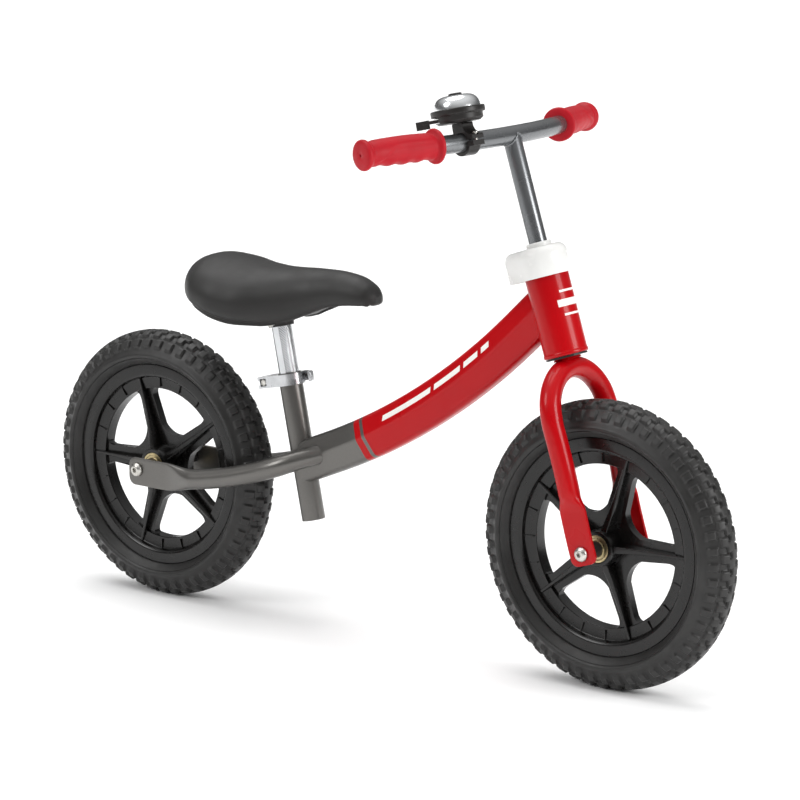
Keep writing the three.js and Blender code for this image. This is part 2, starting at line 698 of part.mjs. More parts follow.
function seat() {
  const group = new THREE.Group();
  group.add(mesh('saddle_cover', saddleCover(), saddleVinyl));
  group.add(mesh('saddle_base', cut(saddleBaseBody(0), postSpace()), blackPlastic));
  const seatGroup = new THREE.Group();
  seatGroup.applyMatrix4(seatTubeMatrix());
  const top = seatTubeLength + seatPostShown;
  const post = tube(seatPostRadius - seatPostWall, seatPostRadius, top - seatPostLength, top);
  const boltZ = top - saddleBoltDrop;
  const crossHole = rod(vec(0, -30, boltZ), vec(0, 30, boltZ), saddleBoltRadius + jointGap, small);
  seatGroup.add(mesh('seat_post', cut(post, crossHole), chromedSteel));
  const socket = tube(seatPostRadius + jointGap, socketRadius, top - 12, top + socketWall, plain);
  const lid = rod(vec(0, 0, top + jointGap), vec(0, 0, top + socketWall), socketRadius);
  const wings = block(vec(4, 0, top - 1), saddleWing.x, saddleWing.y, saddleWing.z);
  const well = rod(vec(0, 0, top - 30), vec(0, 0, top + jointGap), seatPostRadius + jointGap);
  seatGroup.add(mesh('saddle_clamp', cut(join(socket, lid, wings), well, crossHole), spacerBlack));
  seatGroup.add(mesh('saddle_clamp_bolt', saddleBolt(boltZ), zincSteel));
  group.add(seatGroup);
  return group;
}

function saddleBolt(boltZ) {
  const middle = socketRadius + jointGap + 2;
  const shank = rod(vec(0, -middle, boltZ), vec(0, middle, boltZ), saddleBoltRadius, small);
  const head = new THREE.CylinderGeometry(5.5, 5.5, 4, 6).translate(0, -middle, boltZ);
  const nut = new THREE.CylinderGeometry(5.5, 5.5, 4, 6).translate(0, middle, boltZ);
  return join(shank, head, nut);
}

// room under the pan for the post's socket
function postSpace() {
  const top = seatTubeLength + seatPostShown;
  const room = join(
    rod(vec(0, 0, top - 60), vec(0, 0, top + socketWall + jointGap), socketRadius + jointGap),
    block(vec(4, 0, top - 1), saddleWing.x + 2 * jointGap, saddleWing.y + 2 * jointGap, saddleWing.z + 2 * jointGap),
    block(vec(4, 0, top - 12), saddleWing.x + 2 * jointGap, 2 * (socketRadius + 5.9), 26),
  );
  return room.applyMatrix4(seatTubeMatrix());
}

// ---------------------------------------------------------------- fork and steerer
function forkRoute() {
  const axle = intoSteering(wheelbase / 2, 0, tyreRadius);
  const archFoot = forkArchTop - forkHalfSpan;
  const leg = (side) => [
    vec(axle.x, side * plateCentreY, axle.z - plateBeyondAxle),
    vec(axle.x, side * plateCentreY, axle.z + 14),
    vec(axle.x * 0.85, side * plateCentreY, axle.z + 42),
    vec(axle.x * 0.4, side * (plateCentreY + forkHalfSpan) / 2, axle.z + 80),
    vec(-forkSetback, side * forkHalfSpan, archFoot - 18),
  ];
  const arch = Array.from({ length: 9 }, (_, i) => {
    const angle = Math.PI * (1 - i / 8);
    return vec(-forkSetback * (1 - Math.sin(angle)), forkHalfSpan * Math.cos(angle),
      archFoot + forkHalfSpan * Math.sin(angle));
  });
  return new THREE.CatmullRomCurve3([...leg(-1), ...arch, ...leg(1).reverse()]);
}

function fork() {
  const route = forkRoute();
  const total = route.getLength();
  const half = flatteningAlong(total / 2, forkPlateLength, forkCrimpLength, 18);
  const otherHalf = half.slice(0, -1).reverse().map(([distance, flat]) => [total - distance, flat]);
  const rows = [...half, ...otherHalf];
  const outer = loft(flattenedRings(route, rows, X, 0));
  const bore = loft(flattenedRings(route, rows.filter(([, flat]) => flat < 0.5), X, frameTubeWall));
  const axle = intoSteering(wheelbase / 2, 0, tyreRadius);
  const holes = rod(vec(axle.x, -80, axle.z), vec(axle.x, 80, axle.z), boltHoleRadius, small);
  const vent = rod(vec(0, 0, forkArchTop), vec(0, 0, forkArchTop + 20), 4, small);
  return cut(outer, bore, holes, vent);
}

function steerer() {
  const top = headTubeFoot + headTubeLength + jointGap + bushingFlange + stemCollarHeight + 1.5;
  const body = tube(stemRadius + jointGap, steererRadius, forkArchTop, top);
  const route = new THREE.CatmullRomCurve3(forkRoute().points.slice(6, 13));
  const arch = Array.from({ length: 9 }, (_, i) => {
    const tangent = route.getTangentAt(i / 8);
    const side = tangent.clone().cross(X);
    return ring(route.getPointAt(i / 8), X, side, frameTubeRadius + 0.9, frameTubeRadius + 0.9, 2, 12);
  });
  return cut(body, loft(arch));
}

function stemClamp() {
  const foot = headTubeFoot + headTubeLength + 2 * jointGap + bushingFlange;
  const middle = foot + stemCollarHeight / 2;
  const reach = stemCollarEarReach;
  const ears = block(vec(-reach / 2, 0, middle), reach, 2 * stemEarHalfWidth, stemCollarHeight);
  const body = join(rod(vec(0, 0, foot), vec(0, 0, foot + stemCollarHeight), stemCollarRadius), ears);
  const bore = rod(vec(0, 0, foot - 1), vec(0, 0, foot + 20), steererRadius + jointGap, fine);
  const slit = block(vec(-reach, 0, middle), 2 * reach - 20, 2, 20);
  const hole = rod(vec(stemBoltX, -20, middle), vec(stemBoltX, 20, middle), stemBoltRadius + jointGap, small);
  return cut(body, bore, slit, hole);
}

function stemClampBolt() {
  const middle = headTubeFoot + headTubeLength + 2 * jointGap + bushingFlange + stemCollarHeight / 2;
  const far = stemEarHalfWidth + jointGap + 2;
  const shank = rod(vec(stemBoltX, -far, middle), vec(stemBoltX, far, middle), stemBoltRadius, small);
  const head = new THREE.CylinderGeometry(5, 5, 4, 6).translate(stemBoltX, -far, middle);
  const nut = new THREE.CylinderGeometry(5, 5, 4, 6).translate(stemBoltX, far, middle);
  return join(shank, head, nut);
}

// a hood open below, round in front and drawn out to a nose behind
function coverRing(height, inset) {
  const front = coverFrontRadius - inset;
  const nose = coverNoseRadius - inset;
  const noseX = -(coverNoseReach - coverNoseRadius);
  const lean = Math.acos((coverFrontRadius - coverNoseRadius) / -noseX);
  const points = [];
  const steps = 8;
  for (let i = -steps; i <= steps; i += 1) {
    const angle = ((Math.PI - lean) * i) / steps;
    points.push(vec(front * Math.cos(angle), front * Math.sin(angle), height));
  }
  const noseSteps = 4;
  for (let i = -noseSteps; i <= noseSteps; i += 1) {
    const angle = Math.PI + (lean * i) / noseSteps;
    points.push(vec(noseX + nose * Math.cos(angle), nose * Math.sin(angle), height));
  }
  return points;
}

function cover() {
  const top = coverFoot + coverHeight;
  const crown = (lift, inset) => coverRing(top - lift, inset);
  const outer = [crown(coverHeight, 0), crown(8, 0.3), crown(2.6, 2.8), crown(0, 9)];
  const inner = [
    crown(coverHeight + 5, coverWall), crown(8, coverWall + 0.3), crown(2.6 + coverWall, coverWall + 2.8),
  ];
  const lip = rod(vec(0, 0, top - 2), vec(0, 0, top + 4.5), stemRadius + 3.4);
  const stemHole = rod(vec(0, 0, top - 10), vec(0, 0, top + 10), stemRadius + jointGap);
  return cut(join(loft(outer), lip), loft(inner), stemHole);
}

// ---------------------------------------------------------------- handlebar, level across the bike
// a point of the bar's centre line at arc angle turn, with the way along the bar there (towards +Y)
function barPlace(turn, beyond = 0) {
  const centre = steeringPoint(0, 0, barHeight);
  const back = barArcRadius * (1 - Math.cos(turn)) + beyond * Math.sin(Math.abs(turn));
  const y = barArcRadius * Math.sin(turn) + beyond * Math.sign(turn) * Math.cos(turn);
  const rearward = vec(-Math.cos(barDroop), 0, -Math.sin(barDroop));
  const point = centre.addScaledVector(rearward, back).setY(y);
  const way = rearward.multiplyScalar(Math.sin(turn)).addScaledVector(Y, Math.cos(turn));
  return { point, way };
}

function barRings(radius, beyond) {
  const places = [barPlace(-barSweep, beyond)];
  const steps = 5;
  for (let i = -steps; i <= steps; i += 1) places.push(barPlace((barSweep * i) / steps));
  places.push(barPlace(barSweep, beyond));
  return places.map(({ point, way }) => ring(point, Z, way.clone().cross(Z), radius, radius, 2, 14));
}

function handlebar() {
  const reach = gripLength - gripFlangeThickness / 2 - gripEndThickness - jointGap;
  const foot = headTubeFoot + 30;
  const stem = rod(steeringPoint(0, 0, foot), steeringPoint(0, 0, barHeight), stemRadius);
  const stemBore = rod(steeringPoint(0, 0, foot - 1), steeringPoint(0, 0, barHeight - 8), stemRadius - tubeWall);
  const bar = cut(join(loft(barRings(stemRadius, reach)), stem),
    loft(barRings(stemRadius - tubeWall, reach + 2)), stemBore);
  return bar.applyMatrix4(steeringMatrix().invert());
}

// a frame on the bar whose Z runs outward along the grip
function gripGroup(side) {
  const { point, way } = barPlace(side * barSweep);
  const group = new THREE.Group();
  const outward = way.multiplyScalar(side);
  const forward = outward.clone().cross(Z).multiplyScalar(-side);
  const upward = outward.clone().cross(forward);
  const place = new THREE.Matrix4().makeBasis(forward, upward, outward).setPosition(point);
  group.applyMatrix4(steeringMatrix().invert().multiply(place));
  return group;
}

function grip() {
  const start = -gripFlangeThickness / 2;
  const end = start + gripLength;
  const bore = stemRadius + jointGap;
  const flange = gripFlangeThickness;
  const profile = [
    [bore, start], [gripFlangeRadius - 1, start], [gripFlangeRadius, start + flange / 2],
    [gripFlangeRadius - 1, start + flange], [gripRadius + 0.6, start + flange + 1],
    [gripRadius + 0.6, end - 8], [gripEndFlangeRadius, end - 6], [gripEndFlangeRadius, end - 2],
    [gripEndFlangeRadius - 2.2, end],
    [2, end], [2, end - gripEndThickness], [bore, end - gripEndThickness],
  ];
  return turned(profile);
}

// ---------------------------------------------------------------- bell: origin on the bar, Z along the bell's own axis
function bellGroup() {
  const turn = Math.asin(bellPlaceY / barArcRadius);
  const { point, way } = barPlace(turn);
  const upright = vec(-Math.sin(bellLean), 0, Math.cos(bellLean));
  const upward = upright.addScaledVector(way, -upright.dot(way)).normalize();
  const forward = way.clone().cross(upward);
  const group = new THREE.Group();
  const place = new THREE.Matrix4().makeBasis(forward, way, upward).setPosition(point);
  group.applyMatrix4(steeringMatrix().invert().multiply(place));
  return group;
}

function bellClamp() {
  const inner = stemRadius + jointGap;
  const half = bellBandWidth / 2;
  const band = rod(vec(0, -half, 0), vec(0, half, 0), bellBandRadius);
  const post = block(vec(-1, 0, 14), 15, bellBandWidth, 2 * (bellBaseFoot - jointGap - 14));
  const ear = block(vec(14, 0, 1), 10, bellBandWidth - 3, 12);
  const bore = rod(vec(0, -half - 1, 0), vec(0, half + 1, 0), inner);
  const slit = block(vec(16, 0, 1), 16, bellBandWidth + 2, 1.6);
  const hole = rod(vec(bellScrewX, 0, -20), vec(bellScrewX, 0, 7.5), 1.9, small);
  return cut(join(band, post, ear), bore, slit, hole);
}

function bellClampScrew() {
  const shank = rod(vec(bellScrewX, 0, -4.4), vec(bellScrewX, 0, 7.4), 1.6, small);
  const head = rod(vec(bellScrewX, 0, 7.2), vec(bellScrewX, 0, 9.6), 3.2, small);
  const cross = join(block(vec(bellScrewX, 0, 9.6), 4.2, 0.9, 1.6), block(vec(bellScrewX, 0, 9.6), 0.9, 4.2, 1.6));
  return cut(join(shank, head), cross);
}

function bellParts() {
  const group = bellGroup();
  group.add(mesh('bell_clamp', bellClamp(), blackBellPlastic));
  group.add(mesh('bell_clamp_screw', bellClampScrew(), zincSteel));
  const dish = new THREE.Group();
  dish.position.set(0, bellOffset, bellBaseFoot);
  const floor = 2;
  const ringFoot = bellBodyHeight;
  const rimTop = ringFoot + bellRingHeight;
  const tray = turned([
    [0, 0], [bellBodyRadius - 1, 0], [bellBodyRadius, 1], [bellBodyRadius, ringFoot],
    [bellRingRadius - 0.6, ringFoot + 0.4], [bellRingRadius, ringFoot + 1.2],
    [bellRingRadius, rimTop - 1], [bellRingRadius - 0.8, rimTop],
    [bellDomeRadius + 1, rimTop], [bellDomeRadius + 1, ringFoot + 1.5],
    [bellBodyRadius - 1.8, ringFoot + 1.5], [bellBodyRadius - 1.8, floor], [0, floor],
  ], plain);
  const pinBore = rod(vec(0, 0, -2), vec(0, 0, 10), bellPinRadius + jointGap, small);
  dish.add(mesh('bell_base', cut(tray, pinBore, bellLeverSlot()), blackBellPlastic));
  const pinTop = ringFoot + 3 + bellDomeHeight + 1;
  const pin = rod(vec(0, 0, 0.3), vec(0, 0, pinTop - 1), bellPinRadius, plain);
  dish.add(mesh('bell_pin', pin, zincSteel));
  dish.add(mesh('bell_dome', bellDome(ringFoot + 3), chromedSteel));
  const capFoot = ringFoot + 3 + bellDomeHeight + jointGap;
  const cap = turned([[0, capFoot + 1.8], [bellCapRadius - 1.6, capFoot + 1.4], [bellCapRadius, capFoot + 0.5],
    [bellCapRadius, capFoot], [bellPinRadius + jointGap, capFoot], [bellPinRadius + jointGap, capFoot + 0.9],
    [0, capFoot + 0.9]], 16);
  dish.add(mesh('bell_cap', cap, blackBellPlastic));
  dish.add(mesh('bell_striker', bellStriker(), zincSteel));
  dish.add(mesh('bell_lever', bellLever(), blackBellPlastic));
  dish.add(mesh('bell_lever_pin', bellLeverPin(), zincSteel));
  group.add(dish);
  return group;
}

// an open dome: its crown is flat round the pin and its side falls steeply to the mouth
function bellDome(foot) {
  const outline = (radius, height, low) => [[1, 0], [0.95, 0.5], [0.74, 0.87], [0.4, 1]]
    .map(([across, up]) => [radius * across, low + height * up]);
  const skin = outline(bellDomeRadius, bellDomeHeight, foot);
  const inside = outline(bellDomeRadius - bellWall, bellDomeHeight - bellWall, foot).reverse();
  const hole = bellPinRadius + jointGap;
  return turned([...skin, [hole, foot + bellDomeHeight], [hole, foot + bellDomeHeight - bellWall], ...inside], plain);
}

// the lever's hinge pin stands in the tray beside its slot
const bellLeverPivot = vec(Math.cos(bellLeverAngle + 0.55), Math.sin(bellLeverAngle + 0.55), 0)
  .multiplyScalar(bellBodyRadius - 5);

function bellLeverPin() {
  const { x, y } = bellLeverPivot;
  return rod(vec(x, y, 2.3), vec(x, y, bellBodyHeight + 1.3), bellLeverPinRadius, small);
}

function bellLever() {
  const low = 3;
  const high = 6.4;
  const tip = vec(Math.cos(bellLeverAngle), Math.sin(bellLeverAngle), 0).multiplyScalar(bellLeverReach);
  const arm = tip.clone().sub(bellLeverPivot);
  const turn = Math.atan2(arm.y, arm.x);
  const length = arm.length();
  const boss = rod(vec(0, 0, low), vec(0, 0, high), 3.4, 16);
  const stalk = block(vec(length / 2 - 4, 0, (low + high) / 2), length - 8, 4.2, high - low);
  const blade = block(vec(length - 7, 0, 3.1), 14, 3.6, 8.6);
  const bore = rod(vec(0, 0, 0), vec(0, 0, 9), bellLeverPinRadius + runningClearance, small);
  return cut(join(boss, stalk, blade), bore).rotateZ(turn).translate(bellLeverPivot.x, bellLeverPivot.y, 0);
}

// the opening in the tray's side that the lever swings through
function bellLeverSlot() {
  const spread = 0.62;
  const inner = 10;
  const outer = bellRingRadius + 3.5;
  const outline = new THREE.Shape();
  outline.moveTo(inner * Math.cos(bellLeverAngle - spread), inner * Math.sin(bellLeverAngle - spread));
  for (let i = 0; i <= 8; i += 1) {
    const angle = bellLeverAngle - spread + (i / 8) * (2 * spread + 0.12);
    outline.lineTo(outer * Math.cos(angle), outer * Math.sin(angle));
  }
  outline.lineTo(inner * Math.cos(bellLeverAngle + spread), inner * Math.sin(bellLeverAngle + spread));
  outline.closePath();
  return new THREE.ExtrudeGeometry(outline, { depth: 5.2, bevelEnabled: false }).translate(0, 0, 2.3);
}

// the arm that carries the two loose washers which strike the dome
function bellStriker() {
  const low = bellBodyHeight + 3;
  const arm = block(vec(0, 0, low + 1), 2 * strikerReach + 1, 5, 1.6);
  const boss = rod(vec(0, 0, low), vec(0, 0, low + 4), 4, 16);
  const hammers = [-1, 1].map((way) => rod(vec(way * strikerReach, 0, low - 1), vec(way * strikerReach, 0, low + 3), 3.6, small));
  const bore = rod(vec(0, 0, 0), vec(0, 0, 30), bellPinRadius + runningClearance, plain);
  return cut(join(arm, boss, ...hammers), bore);
}

// ---------------------------------------------------------------- steering assembly
function steering() {
  const group = new THREE.Group();
  group.applyMatrix4(steeringMatrix());
  group.add(mesh('fork', fork(), paintRed));
  group.add(mesh('steerer', steerer(), paintRed));
  group.add(mesh('stem_clamp', stemClamp(), spacerBlack));
  group.add(mesh('stem_clamp_bolt', stemClampBolt(), zincSteel));
  group.add(mesh('stem_cover', cover(), whitePlastic));
  group.add(mesh('handlebar', handlebar(), barGrey));
  [['right', -1], ['left', 1]].forEach(([name, side]) => {
    const hand = gripGroup(side);
    hand.add(mesh(`grip_${name}`, grip(), gripRubber));
    group.add(hand);
  });
  group.add(bellParts());
  return group;
}

const bike = new THREE.Group();
bike.add(frame(), seat(), steering());
const rearSet = wheelSet('rear', rearSpokeAngle);
rearSet.position.set(-wheelbase / 2, 0, tyreRadius);
const frontSet = wheelSet('front', frontSpokeAngle);
frontSet.position.set(wheelbase / 2, 0, tyreRadius);
bike.add(rearSet, frontSet);

export default bike;
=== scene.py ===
"""Balance bike: fine pieces, finishes, stage and camera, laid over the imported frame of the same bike.

Every piece is drawn in millimetres in the bike's own frame: +X forward, +Y the rider's left, +Z up,
with the origin on the ground midway between the axles. The pieces become metres when they are added.
"""

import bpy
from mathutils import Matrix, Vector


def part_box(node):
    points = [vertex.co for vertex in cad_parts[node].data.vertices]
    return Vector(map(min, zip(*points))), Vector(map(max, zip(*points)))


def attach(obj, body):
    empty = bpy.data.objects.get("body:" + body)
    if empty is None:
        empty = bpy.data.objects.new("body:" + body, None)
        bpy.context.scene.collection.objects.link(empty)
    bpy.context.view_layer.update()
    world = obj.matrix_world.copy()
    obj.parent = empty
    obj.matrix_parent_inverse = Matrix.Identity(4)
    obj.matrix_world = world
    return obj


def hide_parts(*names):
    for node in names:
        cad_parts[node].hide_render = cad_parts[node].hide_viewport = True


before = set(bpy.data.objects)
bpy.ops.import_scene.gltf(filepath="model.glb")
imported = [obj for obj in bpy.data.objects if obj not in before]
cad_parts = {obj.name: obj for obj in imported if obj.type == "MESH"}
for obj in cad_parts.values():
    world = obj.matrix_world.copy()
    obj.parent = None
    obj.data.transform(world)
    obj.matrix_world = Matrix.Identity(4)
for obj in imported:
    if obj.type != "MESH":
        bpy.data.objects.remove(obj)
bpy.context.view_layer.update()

import math

import bmesh
import bpy
import numpy as np
from mathutils import Matrix, Vector
from mathutils.geometry import tessellate_polygon

bl_info = {
    "name": "Balance bike",
    "version": (1, 0, 0),
    "blender": (4, 5, 0),
    "location": "View3D > Sidebar > Bike",
    "description": "Builds a child's balance bike piece by piece around its packed frame",
    "category": "Object",
}

MM = 0.001


# ---------------------------------------------------------------- where things stand, in millimetres
def middle(node):
    low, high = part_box(node)
    return np.array((low + high) / 2) / MM


REAR_AXLE = middle("rear_tyre")
FRONT_AXLE = middle("front_tyre")
TYRE_RADIUS = (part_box("rear_tyre")[1].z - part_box("rear_tyre")[0].z) / 2 / MM
PLATE_Y = 46.5
JOINT_GAP = 0.3


def leaning(origin, degrees):
    """A frame whose Z leans back from upright by that many degrees, about Y."""
    turn = math.radians(degrees)
    place = np.eye(4)
    place[:3, 0] = (math.cos(turn), 0, math.sin(turn))
    place[:3, 2] = (-math.sin(turn), 0, math.cos(turn))
    place[:3, 3] = origin
    return place


def at(place, x, y, z):
    return (place @ np.array([x, y, z, 1.0]))[:3]


def into(place, point):
    return (np.linalg.inv(place) @ np.append(point, 1.0))[:3]


STEERING = leaning((FRONT_AXLE[0] + 7, 0, FRONT_AXLE[2]), 18.2)
SEAT_TUBE = leaning((-86.5, 0, 116.7), 12)
SEAT_TUBE_LENGTH = 162
HEAD_TUBE_FOOT = 199.3
HEAD_TUBE_LENGTH = 92
GRIP_LENGTH = 92.0
GRIP_OVERLAP = 2.5
GRIP_END_WALL = 4
BAR_HEIGHT = 428.5
BAR_ARC = 366
BAR_SWEEP = math.radians(17)
BAR_DROOP = math.radians(5)
BAR_RADIUS = 9.5


def bar_place(turn, beyond=0.0):
    """A point of the handlebar's centre line at an arc angle, and the way along the bar there."""
    back = BAR_ARC * (1 - math.cos(turn)) + beyond * math.sin(abs(turn))
    y = BAR_ARC * math.sin(turn) + math.copysign(beyond, turn) * math.cos(turn)
    rearward = np.array([-math.cos(BAR_DROOP), 0, -math.sin(BAR_DROOP)])
    point = at(STEERING, 0, 0, BAR_HEIGHT) + rearward * back
    point[1] = y
    return point, rearward * math.sin(turn) + np.array([0, math.cos(turn), 0])


def framed(forward, left, up, origin):
    place = np.eye(4)
    place[:3, 0], place[:3, 1], place[:3, 2], place[:3, 3] = forward, left, up, origin
    return place


def bell_frame():
    """Origin on the bar, Z along the bell's own axis, Y along the bar."""
    point, way = bar_place(math.asin(-68 / BAR_ARC))
    lean = math.radians(14)
    upright = np.array([-math.sin(lean), 0, math.cos(lean)])
    up = upright - way * (upright @ way)
    up /= np.linalg.norm(up)
    return framed(np.cross(way, up), way, up, point)


def grip_frame(side):
    """Z runs outward along the grip, X forward and Y up or down round the bar."""
    point, way = bar_place(side * BAR_SWEEP)
    outward = way * side
    forward = np.cross(outward, (0, 0, 1)) * -side
    forward /= np.linalg.norm(forward)
    return framed(forward, np.cross(outward, forward), outward, point)


BELL = bell_frame()
DISH = BELL @ framed((1, 0, 0), (0, 1, 0), (0, 0, 1), (0, -4, 20))


def wheel_frame(axle):
    """X stays forward, Y of the drawing points up and its Z points to the rider's right."""
    return framed((1, 0, 0), (0, 0, 1), (0, -1, 0), axle)


# ---------------------------------------------------------------- shapes
class Shape:
    """Points, the faces that join them, and the finish number of each face."""

    def __init__(self, points, faces, finish=None):
        self.points = np.asarray(points, float).reshape(-1, 3)
        self.faces = list(faces)
        self.finish = [0] * len(self.faces) if finish is None else list(finish)

    def __add__(self, other):
        shift = len(self.points)
        moved = [tuple(i + shift for i in face) for face in other.faces]
        points = np.vstack([self.points, other.points])
        return Shape(points, self.faces + moved, self.finish + other.finish)

    def placed(self, place):
        points = self.points @ place[:3, :3].T + place[:3, 3]
        return Shape(points, self.faces, self.finish)


def skin(rings, endless=False, finish=None):
    """A skin over rings of equally many points; finish gives a number to each band between two rings."""
    rings = np.asarray(rings, float)
    rows, count = rings.shape[:2]
    faces, numbers = [], []
    for row in range(rows if endless else rows - 1):
        here, there = row * count, (row + 1) % rows * count
        number = 0 if finish is None else finish[row]
        for i in range(count):
            j = (i + 1) % count
            faces.append((here + i, here + j, there + j, there + i))
            numbers.append(number)
    if not endless:
        faces.append(tuple(range(count)))
        faces.append(tuple((rows - 1) * count + i for i in reversed(range(count))))
        numbers += [numbers[0], numbers[-1]]
    return Shape(rings.reshape(-1, 3), faces, numbers)


def turned(profile, endless=False, steps=96):
    """A profile of (radius, height) turned about Z."""
    angles = np.arange(steps) * 2 * math.pi / steps
    rings = [
        [(max(radius, 0.02) * math.cos(a), max(radius, 0.02) * math.sin(a), height) for a in angles]
        for radius, height in profile
    ]
    return skin(rings, endless)


def softened(corners, radius, endless=True, steps=3):
    """The same outline with each corner rounded off by up to that radius."""
    corners = [np.asarray(c, float) for c in corners]
    count = len(corners)
    out = []
    for i, corner in enumerate(corners):
        if not endless and i in (0, count - 1):
            out.append(corner)
            continue
        before, after = corners[i - 1], corners[(i + 1) % count]
        to_before, to_after = before - corner, after - corner
        a, b = np.linalg.norm(to_before), np.linalg.norm(to_after)
        if min(a, b) < 1e-6:
            continue
        start = corner + to_before * min(radius, 0.48 * a) / a
        end = corner + to_after * min(radius, 0.48 * b) / b
        for k in range(steps + 1):
            t = k / steps
            out.append(start * (1 - t) ** 2 + corner * 2 * t * (1 - t) + end * t ** 2)
    return out


def slab(outlines, low, high):
    """A flat plate between two heights; the first outline is its edge and the others are holes in it."""
    loops = [[(float(p[0]), float(p[1])) for p in outline] for outline in outlines]
    flat = [point for loop in loops for point in loop]
    count = len(flat)
    cover = tessellate_polygon([[Vector((x, y, 0)) for x, y in loop] for loop in loops])
    faces = [tuple(tri) for tri in cover] + [tuple(i + count for i in reversed(tri)) for tri in cover]
    start = 0
    for loop in loops:
        size = len(loop)
        for i in range(size):
            a, b = start + i, start + (i + 1) % size
            faces.append((a, b, b + count, a + count))
        start += size
    points = [(x, y, low) for x, y in flat] + [(x, y, high) for x, y in flat]
    return Shape(points, faces)


def box_shape(centre, size_x, size_y, size_z):
    cx, cy, cz = centre
    outline = [(cx + sx * size_x / 2, cy + sy * size_y / 2) for sx,
               sy in ((-1, -1), (1, -1), (1, 1), (-1, 1))]
    return slab([outline], cz - size_z / 2, cz + size_z / 2)


def rod_shape(start, end, radius, steps=48, round_off=0.0):
    start, end = np.asarray(start, float), np.asarray(end, float)
    along = end - start
    length = np.linalg.norm(along)
    profile = softened([(0, 0), (radius, 0), (radius, length), (0, length)], max(round_off, 0.01),
                       endless=False)
    return turned(profile, steps=steps).placed(facing(along / length, start))


def facing(direction, origin):
    """A frame at origin whose Z is that direction."""
    side = np.cross((0, 1, 0) if abs(direction[1]) < 0.9 else (1, 0, 0), direction)
    side /= np.linalg.norm(side)
    return framed(side, np.cross(direction, side), direction, origin)


def ring_points(centre, side_a, side_b, half_a, half_b, power, count):
    """A ring that is round at power 2 and squarer above it."""
    turn = np.arange(count) * 2 * math.pi / count
    bulge = lambda value: np.sign(value) * np.abs(value) ** (2 / power)
    return (
        np.asarray(centre)
        + np.outer(half_a * bulge(np.cos(turn)), side_a)
        + np.outer(half_b * bulge(np.sin(turn)), side_b)
    )


class Route:
    """A smooth curve through points, read by distance along it."""

    def __init__(self, points, per_span=40):
        points = np.asarray(points, float)
        first, last = 2 * points[0] - points[1], 2 * points[-1] - points[-2]
        knots = np.vstack([first, points, last])
        fine = []
        for a, b, c, d in zip(knots, knots[1:], knots[2:], knots[3:]):
            gap = [max(np.linalg.norm(q - p) ** 0.5, 1e-4) for p, q in ((a, b), (b, c), (c, d))]
            leave = ((b - a) / gap[0] - (c - a) / (gap[0] + gap[1]) + (c - b) / gap[1]) * gap[1]
            arrive = ((c - b) / gap[1] - (d - b) / (gap[1] + gap[2]) + (d - c) / gap[2]) * gap[1]
            for t in np.arange(per_span) / per_span:
                fine.append(b + leave * t + (3 * (c - b) - 2 * leave - arrive) * t ** 2
                            + (2 * (b - c) + leave + arrive) * t ** 3)
        fine.append(points[-1])
        self.points = np.array(fine)
        steps = np.linalg.norm(np.diff(self.points, axis=0), axis=1)
        self.reach = np.concatenate([[0], np.cumsum(steps)])
        self.length = self.reach[-1]

    def point(self, distance):
        return np.array([np.interp(distance, self.reach, self.points[:, k]) for k in range(3)])

    def tangent(self, distance):
        low, high = max(distance - 0.5, 0), min(distance + 0.5, self.length)
        way = self.point(high) - self.point(low)
        return way / np.linalg.norm(way)


def smooth_step(low, high, value):
    t = np.clip((value - low) / (high - low), 0, 1)
    return t * t * (3 - 2 * t)


def carved(shape, *cutters):
    """The shape with the cutters taken out of it."""
    body = bpy.data.objects.new("carving", mesh_of(shape, "carving"))
    bpy.context.collection.objects.link(body)
    tools = []
    for cutter in cutters:
        tool = bpy.data.objects.new("cutter", mesh_of(cutter, "cutter"))
        bpy.context.collection.objects.link(tool)
        change = body.modifiers.new("cut", "BOOLEAN")
        change.operation, change.solver, change.object = "DIFFERENCE", "EXACT", tool
        tools.append(tool)
    bpy.context.view_layer.update()
    done = body.evaluated_get(bpy.context.evaluated_depsgraph_get()).to_mesh()
    points = [np.array(v.co) / MM for v in done.vertices]
    result = Shape(points, [tuple(p.vertices) for p in done.polygons])
    for tool in [body, *tools]:
        bpy.data.objects.remove(tool)
    return result


def mesh_of(shape, name):
    mesh = bpy.data.meshes.new(name)
    mesh.from_pydata((shape.points * MM).tolist(), [], shape.faces)
    mesh.polygons.foreach_set("material_index", np.array(shape.finish, dtype=np.int32))
    form = bmesh.new()
    form.from_mesh(mesh)
    bmesh.ops.remove_doubles(form, verts=form.verts, dist=1e-6)
    bmesh.ops.recalc_face_normals(form, faces=form.faces)
    form.to_mesh(mesh)
    form.free()
    return mesh


def add_piece(name, shape, finishes, body, stands_for=(), bevel=0.0, crease=32, smoother=0):
    """Adds one piece to the bike, in metres, riding its body; bevel is in millimetres."""
    mesh = mesh_of(shape, name)
    for finish in finishes:
        mesh.materials.append(finish)
    mesh.shade_smooth()
    mesh.set_sharp_from_angle(angle=math.radians(crease))
    piece = bpy.data.objects.new(name, mesh)
    bpy.context.collection.objects.link(piece)
    if bevel:
        edge = piece.modifiers.new("rounded edges", "BEVEL")
        edge.width, edge.segments, edge.limit_method = bevel * MM, 2, "ANGLE"
        edge.angle_limit = math.radians(40)
        edge.use_clamp_overlap = True
    if smoother:
        extra = piece.modifiers.new("smooth surface", "SUBSURF")
        extra.levels = extra.render_levels = smoother
    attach(piece, body)
    if stands_for:
        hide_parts(*stands_for)
    return piece


def dress(finish, *nodes):
    """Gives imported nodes, whose shape is kept, their finish."""
    for name in nodes:
        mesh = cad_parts[name].data
        mesh.materials.clear()
        mesh.materials.append(finish)


